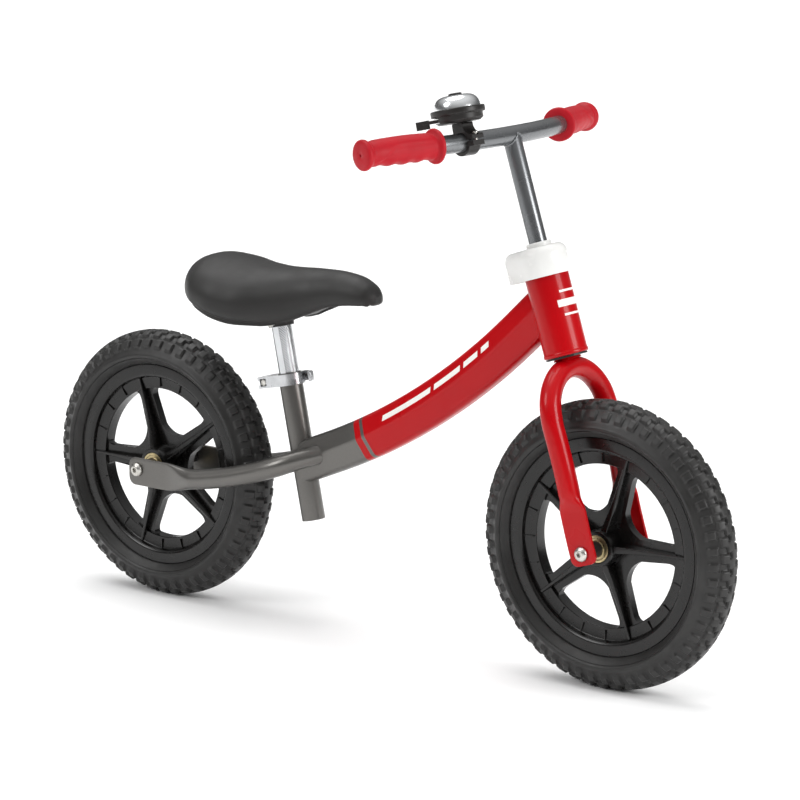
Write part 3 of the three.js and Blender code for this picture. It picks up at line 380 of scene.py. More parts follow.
# ---------------------------------------------------------------- finishes
def linear(hex_colour):
    """An sRGB hex colour as linear red, green, blue and alpha."""
    parts = [int(hex_colour[i:i + 2], 16) / 255 for i in (0, 2, 4)]
    return (*[p / 12.92 if p <= 0.04045 else ((p + 0.055) / 1.055) ** 2.4 for p in parts], 1.0)


def add_node(finish, kind, inputs=None, **settings):
    """One node, with its settings, its plain values and its links."""
    node = finish.node_tree.nodes.new(kind)
    for name, value in settings.items():
        setattr(node, name, value)
    for name, value in (inputs or {}).items():
        if isinstance(value, bpy.types.NodeSocket):
            finish.node_tree.links.new(value, node.inputs[name])
        else:
            node.inputs[name].default_value = value
    return node


def new_finish(name, colour, metallic, roughness, **shader_values):
    """A finish with one shader; returns it with the shader and the piece's own coordinates."""
    finish = bpy.data.materials.new(name)
    finish.use_nodes = True
    finish.node_tree.nodes.clear()
    inputs = {"Base Color": linear(colour), "Metallic": metallic, "Roughness": roughness, **shader_values}
    shader = add_node(finish, "ShaderNodeBsdfPrincipled", inputs)
    add_node(finish, "ShaderNodeOutputMaterial", {"Surface": shader.outputs["BSDF"]})
    place = add_node(finish, "ShaderNodeTexCoord").outputs["Object"]
    return finish, shader, place


def vary_colour(finish, shader, place, colour, other, size_mm, amount=1.0):
    """Blends two colours over the surface in soft patches of that size."""
    noise = add_node(finish, "ShaderNodeTexNoise", {"Vector": place, "Scale": 1000 / size_mm, "Detail": 3.0})
    share = add_node(finish, "ShaderNodeMapRange", {
        "Value": noise.outputs["Fac"], "From Min": 0.35, "From Max": 0.65, "To Min": 0.0, "To Max": amount})
    mix = add_node(finish, "ShaderNodeMix", {"Factor": share.outputs["Result"]}, data_type="RGBA")
    mix.inputs[6].default_value, mix.inputs[7].default_value = linear(colour), linear(other)
    finish.node_tree.links.new(mix.outputs[2], shader.inputs["Base Color"])
    return noise


def vary_roughness(finish, shader, place, low, high, size_mm):
    noise = add_node(finish, "ShaderNodeTexNoise", {"Vector": place, "Scale": 1000 / size_mm, "Detail": 4.0})
    share = add_node(finish, "ShaderNodeMapRange", {
        "Value": noise.outputs["Fac"], "From Min": 0.3, "From Max": 0.7, "To Min": low, "To Max": high})
    finish.node_tree.links.new(share.outputs["Result"], shader.inputs["Roughness"])


def add_bump(finish, shader, height, depth_mm, strength=1.0):
    bump = add_node(finish, "ShaderNodeBump", {
        "Height": height, "Strength": strength, "Distance": depth_mm * MM})
    finish.node_tree.links.new(bump.outputs["Normal"], shader.inputs["Normal"])


def red_enamel(name, colour, deep):
    """Gloss powder enamel, sprayed and baked: a deep colour under a clear film with a faint orange peel."""
    finish, shader, place = new_finish(name, colour, 0.0, 0.3, **{
        "IOR": 1.5, "Specular IOR Level": 0.16, "Coat Weight": 0.16, "Coat Roughness": 0.08, "Coat IOR": 1.5})
    vary_colour(finish, shader, place, colour, deep, 160, 0.35)
    vary_roughness(finish, shader, place, 0.27, 0.32, 60)
    # orange peel runs at about 1.5 mm
    peel = add_node(finish, "ShaderNodeTexNoise", {"Vector": place, "Scale": 1000 / 1.5, "Detail": 1.0})
    add_bump(finish, shader, peel.outputs["Fac"], 0.006, 0.4)
    return finish


def metallic_enamel(name, colour, bright, roughness):
    """Grey enamel with aluminium flake: the flakes glint a little and soften the highlights."""
    finish, shader, place = new_finish(name, colour, 0.75, roughness, **{
        "Coat Weight": 0.2, "Coat Roughness": 0.12, "Coat IOR": 1.5})
    # flakes are about 0.05 mm; drawn at 0.5 mm so that they show
    flake = add_node(finish, "ShaderNodeTexVoronoi", {"Vector": place, "Scale": 1000 / 0.5})
    share = add_node(finish, "ShaderNodeMapRange", {
        "Value": flake.outputs["Distance"], "From Min": 0.0, "From Max": 0.9, "To Min": 0.22, "To Max": 0.0})
    mix = add_node(finish, "ShaderNodeMix", {"Factor": share.outputs["Result"]}, data_type="RGBA")
    mix.inputs[6].default_value, mix.inputs[7].default_value = linear(colour), linear(bright)
    finish.node_tree.links.new(mix.outputs[2], shader.inputs["Base Color"])
    vary_roughness(finish, shader, place, roughness - 0.03, roughness + 0.04, 40)
    return finish


def moulded_plastic(name, colour, other, roughness, grain_mm=0.0, grain_depth=0.02, coat=0.0):
    """Injection-moulded plastic: even colour with slight flow marks, and a fine eroded grain where given."""
    finish, shader, place = new_finish(name, colour, 0.0, roughness, **{
        "IOR": 1.49, "Specular IOR Level": 0.35, "Coat Weight": coat, "Coat Roughness": 0.1})
    vary_colour(finish, shader, place, colour, other, 45, 0.6)
    vary_roughness(finish, shader, place, max(roughness - 0.04, 0.05), roughness + 0.05, 14)
    if grain_mm:
        grain = add_node(finish, "ShaderNodeTexNoise",
                         {"Vector": place, "Scale": 1000 / grain_mm, "Detail": 2.0})
        add_bump(finish, shader, grain.outputs["Fac"], grain_depth)
    return finish


def foam_rubber(name, colour, dusty):
    """Moulded EVA foam: a closed skin with pin-hole cells, dull, and greyer where dust settles."""
    finish, shader, place = new_finish(name, colour, 0.0, 0.6, **{
        "IOR": 1.48, "Specular IOR Level": 0.5, "Sheen Weight": 0.03})
    vary_colour(finish, shader, place, colour, dusty, 22, 0.8)
    vary_roughness(finish, shader, place, 0.38, 0.55, 9)
    # cells are 0.3 mm; drawn at 0.8 mm so that they show
    cells = add_node(finish, "ShaderNodeTexVoronoi", {"Vector": place, "Scale": 1000 / 0.8})
    add_bump(finish, shader, cells.outputs["Distance"], 0.04, 0.4)
    return finish


def soft_rubber(name, colour, other):
    """Soft thermoplastic rubber: matt, with a very fine matt grain that gives a pale bloom at the edges."""
    finish, shader, place = new_finish(name, colour, 0.0, 0.52,
                                       **{"IOR": 1.5, "Specular IOR Level": 0.25,
                                          "Sheen Weight": 0.02, "Sheen Roughness": 0.5})
    vary_colour(finish, shader, place, colour, other, 30, 0.5)
    grain = add_node(finish, "ShaderNodeTexNoise", {"Vector": place, "Scale": 1000 / 0.6, "Detail": 3.0})
    add_bump(finish, shader, grain.outputs["Fac"], 0.03, 0.7)
    vary_roughness(finish, shader, place, 0.46, 0.6, 12)
    return finish


def grained_vinyl(name, colour, other):
    """Embossed vinyl over foam: fine irregular pebbles about 0.9 mm wide with thin creases, satin."""
    finish, shader, place = new_finish(name, colour, 0.0, 0.5, **{
        "IOR": 1.5, "Specular IOR Level": 0.4, "Sheen Weight": 0.03})
    vary_colour(finish, shader, place, colour, other, 60, 0.7)
    vary_roughness(finish, shader, place, 0.44, 0.56, 18)
    pebbles = add_node(finish, "ShaderNodeTexVoronoi", {"Vector": place, "Scale": 1000 / 0.9},
                       feature="DISTANCE_TO_EDGE")
    crease = add_node(finish, "ShaderNodeMapRange", {
        "Value": pebbles.outputs["Distance"], "From Min": 0.0, "From Max": 0.18, "To Min": 0.0,
        "To Max": 1.0})
    add_bump(finish, shader, crease.outputs["Result"], 0.035, 0.5)
    return finish


def bare_metal(name, colour, other, low, high, patch_mm, scratch_mm=0.0, scratch_depth=0.01):
    """Polished, plated or drawn metal: bright, with soft stains and, where given, fine scratches."""
    finish, shader, place = new_finish(name, colour, 1.0, (low + high) / 2)
    vary_colour(finish, shader, place, colour, other, patch_mm, 0.6)
    vary_roughness(finish, shader, place, low, high, patch_mm * 0.7)
    if scratch_mm:
        stretch = add_node(finish, "ShaderNodeMapping", {"Vector": place, "Scale": (1.0, 1.0, 0.08)})
        lines = add_node(finish, "ShaderNodeTexNoise", {
            "Vector": stretch.outputs["Vector"], "Scale": 1000 / scratch_mm, "Detail": 2.0})
        add_bump(finish, shader, lines.outputs["Fac"], scratch_depth, 0.5)
    return finish


FINISHES = {}


def make_finishes(colours):
    """Makes every finish once; colours are the ones set in the panel."""
    hexes = {key: getattr(colours, key) for key in colours.__annotations__}
    FINISHES.update({
        "red": red_enamel("red gloss enamel", hexes["frame_red"], "98010a"),
        "grey": metallic_enamel("grey metallic enamel", hexes["frame_grey"], "94928e", 0.34),
        "bar": metallic_enamel("light grey metallic enamel", hexes["bar_grey"], "a9abad", 0.27),
        "white": moulded_plastic("white moulded ABS", hexes["cover_white"], "dadad7", 0.24, coat=0.3),
        "wheel": moulded_plastic("black moulded polypropylene", hexes["wheel_black"], "12100f", 0.25,
                                 coat=0.1),
        "foam": foam_rubber("black EVA foam", hexes["tyre_black"], "201f1e"),
        "grip": soft_rubber("red soft rubber", hexes["grip_red"], "9c0718"),
        "vinyl": grained_vinyl("black embossed vinyl", hexes["saddle_black"], "21201f"),
        "pan": moulded_plastic("black satin nylon", "181716", "22201f", 0.45, 0.8, 0.03),
        "bell": moulded_plastic("black satin ABS", "1d1b1a", "292625", 0.38, 0.7, 0.02),
        "alloy": bare_metal("polished aluminium", "c8c9cb", "aeb0b2", 0.16, 0.3, 12, 0.5, 0.012),
        "chrome": bare_metal("chrome plate", "eef0f1", "e0e2e4", 0.16, 0.22, 20),
        "post": bare_metal("chromed steel tube", "d2d4d6", "bcbec0", 0.12, 0.2, 16),
        "zinc": bare_metal("bright zinc plate", "cfcdc8", "aeaaa2", 0.22, 0.38, 5, 0.4, 0.01),
        "yellow zinc": bare_metal("yellow zinc plate", "c2b186", "9c9275", 0.24, 0.4, 4),
        "black": moulded_plastic("black oxide steel", "1b1a19", "2a2827", 0.42, 0.6, 0.015),
        "print": moulded_plastic("white printed film", "f2f0ec", "e6e2dc", 0.35),
    })


# ---------------------------------------------------------------- sizes and colours a user may change
class BikeSizes(bpy.types.PropertyGroup):
    """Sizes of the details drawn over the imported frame."""

    tyre_lugs: bpy.props.IntProperty(
        name="Tread lugs", description="Lugs round each shoulder of a tyre", default=54, min=24, max=90)
    tread_depth: bpy.props.FloatProperty(
        name="Tread depth", description="Depth of the grooves in the tread", default=0.0028, min=0.0,
        max=0.005,
        precision=4, unit="LENGTH")
    lip_ribs: bpy.props.IntProperty(
        name="Ribs in the rim", description="Small ribs behind the rim's lip, for each spoke", default=3,
        min=0, max=6)
    finger_depth: bpy.props.FloatProperty(
        name="Finger grooves", description="Depth of the finger grooves under a grip", default=0.0013,
        min=0.0,
        max=0.003, precision=4, unit="LENGTH")
    knurl_pitch: bpy.props.FloatProperty(
        name="Knurl pitch", description="Spacing of the herringbone grooves on the seat post", default=0.0030,
        min=0.001, max=0.006, precision=4, unit="LENGTH")
    knurl_depth: bpy.props.FloatProperty(
        name="Knurl depth", description="Depth of the herringbone grooves", default=0.0007, min=0.0,
        max=0.001,
        precision=5, unit="LENGTH")
    band_width: bpy.props.FloatProperty(
        name="Paint band", description="Width of the first red band on the main beam", default=0.0085,
        min=0.002,
        max=0.03, precision=4, unit="LENGTH")
    show_marks: bpy.props.BoolProperty(
        name="Printed marks", description="Plain white stripe on the beam and bars on the head tube",
        default=True)


class BikeColours(bpy.types.PropertyGroup):
    """Colours as sRGB hex values."""

    frame_red: bpy.props.StringProperty(name="Frame red", description="Beam, head tube and fork",
                                        default="b1010a")
    frame_grey: bpy.props.StringProperty(name="Frame grey", description="Stays and seat tube",
                                         default="615f5c")
    bar_grey: bpy.props.StringProperty(name="Bar grey", description="Handlebar and stem", default="6b6d6f")
    cover_white: bpy.props.StringProperty(name="Cover white", description="Hood on the head tube",
                                          default="e4e4e2")
    wheel_black: bpy.props.StringProperty(name="Wheel black", description="Rims, spokes and hubs",
                                          default="0b0a09")
    tyre_black: bpy.props.StringProperty(name="Tyre black", description="Foam tyres", default="181716")
    grip_red: bpy.props.StringProperty(name="Grip red", description="Handlebar grips", default="ae071a")
    saddle_black: bpy.props.StringProperty(name="Saddle black", description="Saddle cover", default="1a1918")


# ---------------------------------------------------------------- wheels
def tyre_shape(axle, lugs, depth):
    """A foam tyre: staggered blocks on its crown, short lugs on its shoulders and a smooth sidewall."""
    per_lug = 16
    steps = lugs * per_lug
    crown = []
    for share in np.linspace(-1, 1, 69):
        crown.append((TYRE_RADIUS - 23 * abs(share) ** 2.5, 25 * share, share))
    side = [(125.6, 24.95, 1.05), (123.8, 24.7, 1.12), (122.2, 24.2, 1.2), (121.2, 23.5, 1.3),
            (120.7, 22.6, 1.3),
            (120.1, 22.9, 1.3), (118.6, 21.6, 1.3), (116.4, 19.2, 1.3), (114.3, 16.3, 1.3),
            (113.4, 14.9, 1.3)]
    inner = [(113.4, 11.9, 2.0), (108.4, 11.9, 2.0)]
    right = [(radius, -y, -share) for radius, y, share in side + inner]
    profile = right[::-1] + crown + side + inner
    turn = np.arange(steps) / per_lug
    angle = turn * 2 * math.pi / lugs

    def strip(low, high, share):
        return float(smooth_step(low - 0.02, low + 0.02,
                                 share) * (1 - smooth_step(high - 0.02, high + 0.02, share)))

    def block(position, half):
        return 1 - smooth_step(half - 0.04, half + 0.04, np.abs((turn - position + 0.5) % 1 - 0.5))

    rings = []
    for k, (radius, y, share) in enumerate(profile):
        sideways = abs(share)
        shift = 0.5 if share > 0 else 0.0
        raised = np.maximum.reduce([
            strip(-0.09, 0.30, share) * block(0.8, 0.31),
            strip(-0.09, 0.30, -share) * block(0.3, 0.31),
            strip(0.24, 0.56, sideways) * block(0.6 + shift, 0.28),
            strip(0.64, 0.87, sideways) * block(0.1 + shift, 0.25),
        ])
        fade = float(1 - smooth_step(0.9, 1.12, sideways))
        cut = depth * (1 - raised) * fade
        before, after = profile[k - 1], profile[(k + 1) % len(profile)]
        out = np.array([after[1] - before[1], -(after[0] - before[0])], float)
        out /= np.linalg.norm(out)
        r = radius - cut * max(out[0], 0.25)
        across = y - cut * out[1]
        rings.append(np.column_stack([r * np.cos(angle), r * np.sin(angle), -across * np.ones(steps)]))
    return skin(rings, endless=True).placed(wheel_frame(axle))


def spoke_opening(middle_angle, half_step, outer=86.0):
    """The outline of one gap between two spokes: straight along the spokes, round at its corners."""
    def edge_point(sign, distance):
        along = middle_angle + sign * half_step
        half_width = 13.2 + (8.6 - 13.2) * (distance - 14.5) / 73.5
        normal = along - sign * math.pi / 2
        return np.array([distance * math.cos(along) + half_width * math.cos(normal),
                         distance * math.sin(along) + half_width * math.sin(normal)])

    def on_rim(angle):
        return np.array([outer * math.cos(angle), outer * math.sin(angle)])

    def corner(a, b, c, steps=7):
        return [a * (1 - t) ** 2 + b * 2 * t * (1 - t) + c * t * t for t in np.linspace(0, 1, steps)]

    low_corner = math.atan2(*edge_point(-1, 85.2)[::-1])
    high_corner = math.atan2(*edge_point(1, 85.2)[::-1])
    while high_corner < low_corner:
        high_corner += 2 * math.pi
    inset = 10.0 / outer
    outline = corner(edge_point(-1, 73), on_rim(low_corner), on_rim(low_corner + inset))
    for angle in np.linspace(low_corner + inset, high_corner - inset, 14)[1:-1]:
        outline.append(on_rim(angle))
    outline += corner(on_rim(high_corner - inset), on_rim(high_corner), edge_point(1, 73))
    inner_tip = (edge_point(1, 30) + edge_point(-1, 30)) / 2
    tip_distance = np.linalg.norm(inner_tip)
    inner_tip *= max(tip_distance, 26.0) / tip_distance
    outline += corner(edge_point(1, 42), inner_tip, edge_point(-1, 42), 11)
    return outline


def wheel_shape(axle, first_angle, ribs):
    """A one-piece spoked wheel: rim with lips, flat web with rounded gaps, ribbed spokes and hub."""
    rim_profile = softened([
        (108, 12.1), (113, 12.1), (113, 15), (101.5, 15), (99, 13.6), (97.6, 8.6), (86.2, 7.6), (84.8, 7.6),
        (84.8, -7.6), (86.2, -7.6), (97.6, -8.6), (99, -13.6), (101.5, -15), (113, -15), (113, -12.1),
        (108, -12.1),
    ], 1.1)
    shape = turned(rim_profile, endless=True, steps=160)
    step = math.pi / 5
    openings = [spoke_opening(first_angle + step * (2 * i + 1), step) for i in range(5)]
    edge = [(97 * math.cos(a), 97 * math.sin(a)) for a in np.arange(120) * math.pi / 60]
    bore = [(9 * math.cos(a), 9 * math.sin(a)) for a in np.arange(40) * math.pi / 20]
    shape += slab([edge, bore, *openings], -4.6, 4.6)
    for i in range(5):
        angle = first_angle + 2 * step * i
        c, s = math.cos(angle), math.sin(angle)
        turn = framed((c, s, 0), (-s, c, 0), (0, 0, 1), (0, 0, 0))
        # the raised rib is tall at the hub and runs out at the rim's lip
        for way in (-1, 1):
            stations = [(12, 6.2, 19.5), (22, 5.6, 17.4), (36, 4.6, 14.6), (56, 3.6, 12.4), (80, 2.8, 11.0),
                        (97.5, 2.6, 10.6)]
            rows = []
            for distance, half, height in stations:
                corners = softened([(-half, 0), (half, 0), (half * 0.62, height), (-half * 0.62, height)],
                                   1.2)
                rows.append([(distance, p[0], way * p[1]) for p in corners])
            shape += skin(rows).placed(turn)
        for k in range(ribs):
            offset = (k + 1) / (ribs + 1) * 2 * step
            c2, s2 = math.cos(angle + offset), math.sin(angle + offset)
            there = framed((c2, s2, 0), (-s2, c2, 0), (0, 0, 1), (0, 0, 0))
            for way in (-1, 1):
                shape += box_shape((92.0, 0, way * 8.0), 9.5, 1.0, 3.6).placed(there)
    hub = softened([(8, 14.6), (14.2, 14.6), (14.2, 22.4), (18.5, 22.4), (19.2, 16), (20.5, 6), (20.5, -6),
                    (19.2, -16), (18.5, -22.4), (14.2, -22.4), (14.2, -14.6), (8, -14.6)], 1.0)
    shape += turned(hub, endless=True, steps=80)
    return shape.placed(wheel_frame(axle))


def bolt_shape():
    """A button-head axle bolt with a hexagon socket; its seat is at height 0 and its head above."""
    steps = 72
    angles = np.arange(steps) * 2 * math.pi / steps
    lathe = [(3.85, -22), (3.85, -0.02), (7.2, 0.0), (7.6, 0.35), (7.6, 1.5), (7.35, 2.2), (6.5, 3.3),
             (5.4, 4.15),
             (4.3, 4.55), (3.6, 4.6)]
    rings = [[(r * math.cos(a), r * math.sin(a), h) for a in angles] for r, h in lathe]
    hexagon = [2.9 * math.cos(math.pi / 6) / math.cos((a % (math.pi / 3)) - math.pi / 6) for a in angles]
    for height, grow in ((4.6, 1.04), (4.4, 1.0), (2.0, 1.0)):
        rings.append([(r * grow * math.cos(a), r * grow * math.sin(a), height) for r,
                      a in zip(hexagon, angles)])
    return skin(rings)


def bearing_shape():
    """Outer ring, sunk seal and inner ring of a bearing, its outer face at height 0."""
    return turned(softened([(6.1, -8), (14, -8), (14, 0), (11.6, 0), (11.2, -0.9), (8.6, -0.9), (8.3, 0),
                            (6.1, 0)], 0.35),
                  endless=True, steps=96)


class BuildWheels(bpy.types.Operator):
    """Foam tyres, moulded wheels, bearings, spacers and axle bolts of both ends"""

    bl_idname = "bike.build_wheels"
    bl_label = "Wheels"

    def execute(self, context):
        sizes = context.scene.bike_sizes
        for end, axle, body, fixed, angle in (
            ("rear", REAR_AXLE, "rear_wheel", "frame", math.radians(108)),
            ("front", FRONT_AXLE, "front_wheel", "steering", math.radians(74)),
        ):
            add_piece(f"{end}_foam_tyre", tyre_shape(axle, sizes.tyre_lugs, sizes.tread_depth / MM),
                      [FINISHES["foam"]], body, [f"{end}_tyre"], crease=60)
            add_piece(f"{end}_spoked_wheel", wheel_shape(axle, angle, sizes.lip_ribs), [FINISHES["wheel"]],
                      body, [f"{end}_wheel"], bevel=0.5, crease=30)
            for side, way in (("right", 1), ("left", -1)):
                outward = wheel_frame(axle)
                if way < 0:
                    outward = framed((-1, 0, 0), (0, 0, 1), (0, 1, 0), axle)
                race = bearing_shape().placed(outward @ framed((1, 0, 0), (0, 1, 0), (0, 0, 1), (0, 0, 22.7)))
                add_piece(f"{end}_race_{side}", race, [FINISHES["yellow zinc"]], body,
                          [f"{end}_bearing_{side}"])
                inner = PLATE_Y - 2 - 2 * JOINT_GAP
                collar = turned(softened([(6.2, 23), (8.5, 23), (8.5, inner), (6.2, inner)], 0.5),
                                endless=True, steps=64)
                add_piece(f"{end}_collar_{side}", collar.placed(outward), [FINISHES["black"]], fixed,
                          [f"{end}_spacer_{side}"])
                seat = framed((1, 0, 0), (0, 1, 0), (0, 0, 1), (0, 0, PLATE_Y + 2 + JOINT_GAP))
                head = bolt_shape().placed(outward @ seat)
                add_piece(f"{end}_bolt_{side}", head, [FINISHES["zinc"]], fixed,
                          [f"{end}_axle_bolt_{side}"])
        dress(FINISHES["zinc"], "rear_axle", "front_axle")
        return {"FINISHED"}


# ---------------------------------------------------------------- tubes pressed flat at their ends
def pressed_tube(route, plate, crimp, across, both_ends, step=5.0):
    """A round tube whose ends are pressed into plates."""
    total = route.length
    reach = total / 2 if both_ends else total
    marks = [8 * share for share in (0.004, 0.05, 0.15, 0.32, 0.55, 0.8, 1.0)]
    marks += list(np.linspace(14, plate, 6))
    marks += [plate + crimp * share for share in np.linspace(0.08, 1, 14)]
    count = int((reach - plate - crimp) / step)
    marks += list(np.linspace(plate + crimp, reach, count + 1)[1:])
    if both_ends:
        marks += [total - mark for mark in reversed(marks[:-1])]
    rings = []
    for distance in marks:
        edge = min(distance, total - distance) if both_ends else distance
        flat = 1 - float(smooth_step(plate, plate + crimp, edge))
        # the pinched neck of the plate keeps its fold: it thickens late
        thin_share = flat ** 0.7
        tangent = route.tangent(distance)
        wide = np.asarray(across, float) - tangent * (np.asarray(across, float) @ tangent)
        wide /= np.linalg.norm(wide)
        thin = np.cross(tangent, wide)
        into_corner = max(0.0, 8 - edge)
        rounding = 8 - math.sqrt(64 - into_corner ** 2)
        half_wide = 11 + (15.5 - rounding - 11) * flat
        half_thin = 11 + (2 - 11) * thin_share
        rings.append(ring_points(route.point(distance), wide, thin, half_wide, half_thin, 2 + 5 * flat ** 2,
                                 40))
    return skin(rings)


def stay_route(side):
    x, z = REAR_AXLE[0], REAR_AXLE[2] - 2.4
    return Route([
        (x - 12, side * PLATE_Y, z), (x + 16, side * PLATE_Y, z), (x + 38, side * PLATE_Y, z),
        (x + 70, side * (PLATE_Y + 0.6), z + 1.6), (x + 115, side * (PLATE_Y + 0.2), z + 9),
        (x + 160, side * (PLATE_Y - 2.3), z + 20.5), (x + 196, side * 39.5, z + 33),
        (x + 216, side * 27, z + 41.5), (x + 229, side * 9, z + 45.5),
    ])


def fork_route():
    axle = into(STEERING, FRONT_AXLE)
    half, top = 49, 186.5
    foot = top - half
    leg = lambda side: [
        (axle[0], side * PLATE_Y, axle[2] - 12), (axle[0], side * PLATE_Y, axle[2] + 14),
        (axle[0] * 0.85, side * PLATE_Y, axle[2] + 42),
        (axle[0] * 0.4, side * (PLATE_Y + half) / 2, axle[2] + 80), (-1.5, side * half, foot - 18),
    ]
    arch = [(-1.5 * (1 - math.sin(a)), half * math.cos(a), foot + half * math.sin(a))
            for a in np.linspace(math.pi, 0, 9)]
    return Route([at(STEERING, *p) for p in leg(-1) + arch + leg(1)[::-1]])


# ---------------------------------------------------------------- the curved main beam
BEAM_START = np.array([-53.7, 0, 197.8])
BEAM_END = np.array([177, 0, 346.3])
BEAM_ARC = 810
BEAM_HALF_HEIGHT = 23
BEAM_HALF_WIDTH = 17
BEAM_FACETS = [(1, 0.36), (0.87, 0.64), (0.1, 1.0), (-0.85, 0.68), (-1, 0.38)]


def beam_circle():
    chord = BEAM_END - BEAM_START
    half_angle = math.asin(np.linalg.norm(chord) / 2 / BEAM_ARC)
    along = chord / np.linalg.norm(chord)
    up = np.array([-along[2], 0, along[0]])
    centre = (BEAM_START + BEAM_END) / 2 + up * BEAM_ARC * math.cos(half_angle)
    return centre, along, up, half_angle


def beam_point(angle, raised, sideways):
    """A point of the beam at an arc angle, raised above its middle line and to the rider's left of it."""
    centre, along, up, _ = beam_circle()
    outward = along * math.sin(angle) - up * math.cos(angle)
    return centre + outward * (BEAM_ARC - raised) + np.array([0, sideways, 0])


def beam_outline():
    right = [(n * BEAM_HALF_HEIGHT, b * BEAM_HALF_WIDTH) for n, b in BEAM_FACETS]
    return softened(right + [(n, -b) for n, b in reversed(right)], 2.6)


def beam_shape(band):
    """Coped against the seat tube and head tube; finish 0 is the grey rear and one band, finish 1 the red."""
    half = beam_circle()[3]
    first_band = angle_of_beam(-14.5, 215.5)
    edges = [first_band, first_band + band / BEAM_ARC, first_band + (band + 4.5) / BEAM_ARC]
    stations = sorted(list(np.linspace(-half * 1.02, half * 1.12, 34)) + edges)
    outline = beam_outline()
    rings = [[beam_point(angle, n, b) for n, b in outline] for angle in stations]
    _, along, up, _ = beam_circle()
    # both ends are carried along the beam until they meet the tubes
    for index, frame_of, reach in ((0, SEAT_TUBE, None), (-1, STEERING, 21.2)):
        angle = stations[index]
        way = (along * math.cos(angle) + up * math.sin(angle)) * (-1 if index == 0 else 1)
        ends = []
        for point in rings[index]:
            local = into(frame_of, point)
            local_way = frame_of[:3, :3].T @ way
            target = 2.0 if reach is None else -math.sqrt(reach ** 2 - min(local[1] ** 2, reach ** 2 - 1))
            ends.append(point + way * (target - local[0]) / local_way[0])
        if index == 0:
            rings.insert(0, ends)
        else:
            rings.append(ends)
    # the seat tube's bore stays free for the post
    bore = rod_shape(at(SEAT_TUBE, 0, 0, -40), at(SEAT_TUBE, 0, 0, SEAT_TUBE_LENGTH + 40), 12.0)
    shape = carved(skin(rings), bore)
    for number, face in enumerate(shape.faces):
        middle_point = shape.points[list(face)].mean(axis=0)
        place = angle_of_beam(middle_point[0], middle_point[2])
        shape.finish[number] = 0 if place < edges[0] or edges[1] < place < edges[2] else 1
    return shape


def angle_of_beam(x, z):
    centre, along, up, _ = beam_circle()
    out = np.array([x, 0, z]) - centre
    return math.atan2(out @ along, -(out @ up))


def facet_patch(angle_low, angle_high, share_low, share_high, side, slant=0.0, proud=0.12):
    """A thin printed patch on the upper side facet; slant is how far its top leans forward."""
    (n1, b1), (n2, b2) = BEAM_FACETS[1], BEAM_FACETS[2]
    normal_n, normal_b = b2 - b1, n1 - n2
    size = math.hypot(normal_n * BEAM_HALF_WIDTH, normal_b * BEAM_HALF_HEIGHT)
    normal_n, normal_b = normal_n * BEAM_HALF_WIDTH / size, normal_b * BEAM_HALF_HEIGHT / size
    rows = []
    columns = max(2, int((angle_high - angle_low) * BEAM_ARC / 6) + 1)
    for k in range(columns + 1):
        base = angle_low + (angle_high - angle_low) * k / columns
        row = []
        for share, lift in ((share_low, -0.2), (share_high, -0.2), (share_high, proud), (share_low, proud)):
            angle = base + slant * (1 - share) / BEAM_ARC
            n = (n1 + (n2 - n1) * share) * BEAM_HALF_HEIGHT + normal_n * lift
            b = (b1 + (b2 - b1) * share) * BEAM_HALF_WIDTH + normal_b * lift
            row.append(beam_point(angle, n, side * b))
        rows.append(row)
    return skin(rows)


def beam_marks():
    """A plain stripe broken into four ever shorter dashes, on both sides of the beam."""
    shape = None
    start, end = angle_of_beam(24, 226), angle_of_beam(168, 322)
    for side in (-1, 1):
        for first, last in ((0.0, 0.44), (0.475, 0.72), (0.755, 0.89), (0.925, 1.0)):
            patch = facet_patch(start + (end - start) * first, start + (end - start) * last, 0.36, 0.66,
                                side, slant=9)
            shape = patch if shape is None else shape + patch
    return shape


def head_marks():
    """Three plain bars round the front of the head tube."""
    shape = None
    middle_height = HEAD_TUBE_FOOT + 52
    for height, half_angle, half_height in ((12, 0.55, 1.1), (0, 0.75, 3.6), (-12, 0.55, 1.1)):
        rows = []
        for angle in np.linspace(-half_angle, half_angle, 25):
            c, s = math.cos(angle), math.sin(angle)
            rows.append([(r * c, r * s, middle_height + height + h) for r, h in
                         ((22.3, -half_height), (22.62, -half_height), (22.62, half_height),
                          (22.3, half_height))])
        patch = skin(rows)
        shape = patch if shape is None else shape + patch
    return shape.placed(STEERING)


class BuildFrame(bpy.types.Operator):
    """Main beam, stays, seat tube and head tube with its bushes and printed marks"""

    bl_idname = "bike.build_frame"
    bl_label = "Frame"

    def execute(self, context):
        sizes = context.scene.bike_sizes
        add_piece("curved_beam", beam_shape(sizes.band_width / MM), [FINISHES["grey"], FINISHES["red"]],
                  "frame",
                  ["main_beam"], crease=60)
        for side, name in ((-1, "right"), (1, "left")):
            add_piece(f"rear_arm_{name}", pressed_tube(stay_route(side), 50, 45, (0, 0, 1), False),
                      [FINISHES["grey"]], "frame", [f"stay_{name}"], crease=50)
        wall = softened([(11.4, 0), (12.7, 0), (12.7, SEAT_TUBE_LENGTH), (11.4, SEAT_TUBE_LENGTH)], 0.3)
        add_piece("seat_mast", turned(wall, endless=True).placed(SEAT_TUBE), [FINISHES["grey"]], "frame",
                  ["seat_tube"])
        foot, top = HEAD_TUBE_FOOT, HEAD_TUBE_FOOT + HEAD_TUBE_LENGTH
        head = softened([(20, foot), (22.7, foot), (23.1, foot + 1), (23.1, foot + 3), (22.5, foot + 4.2),
                         (22.5, top), (20, top)], 0.5)
        add_piece("head_barrel", turned(head, endless=True, steps=128).placed(STEERING), [FINISHES["red"]],
                  "frame",
                  ["head_tube"])
        dress(FINISHES["black"], "head_bushing_upper", "head_bushing_lower")
        if sizes.show_marks:
            add_piece("beam_marks", beam_marks(), [FINISHES["print"]], "frame")
            add_piece("head_marks", head_marks(), [FINISHES["print"]], "frame")
        return {"FINISHED"}


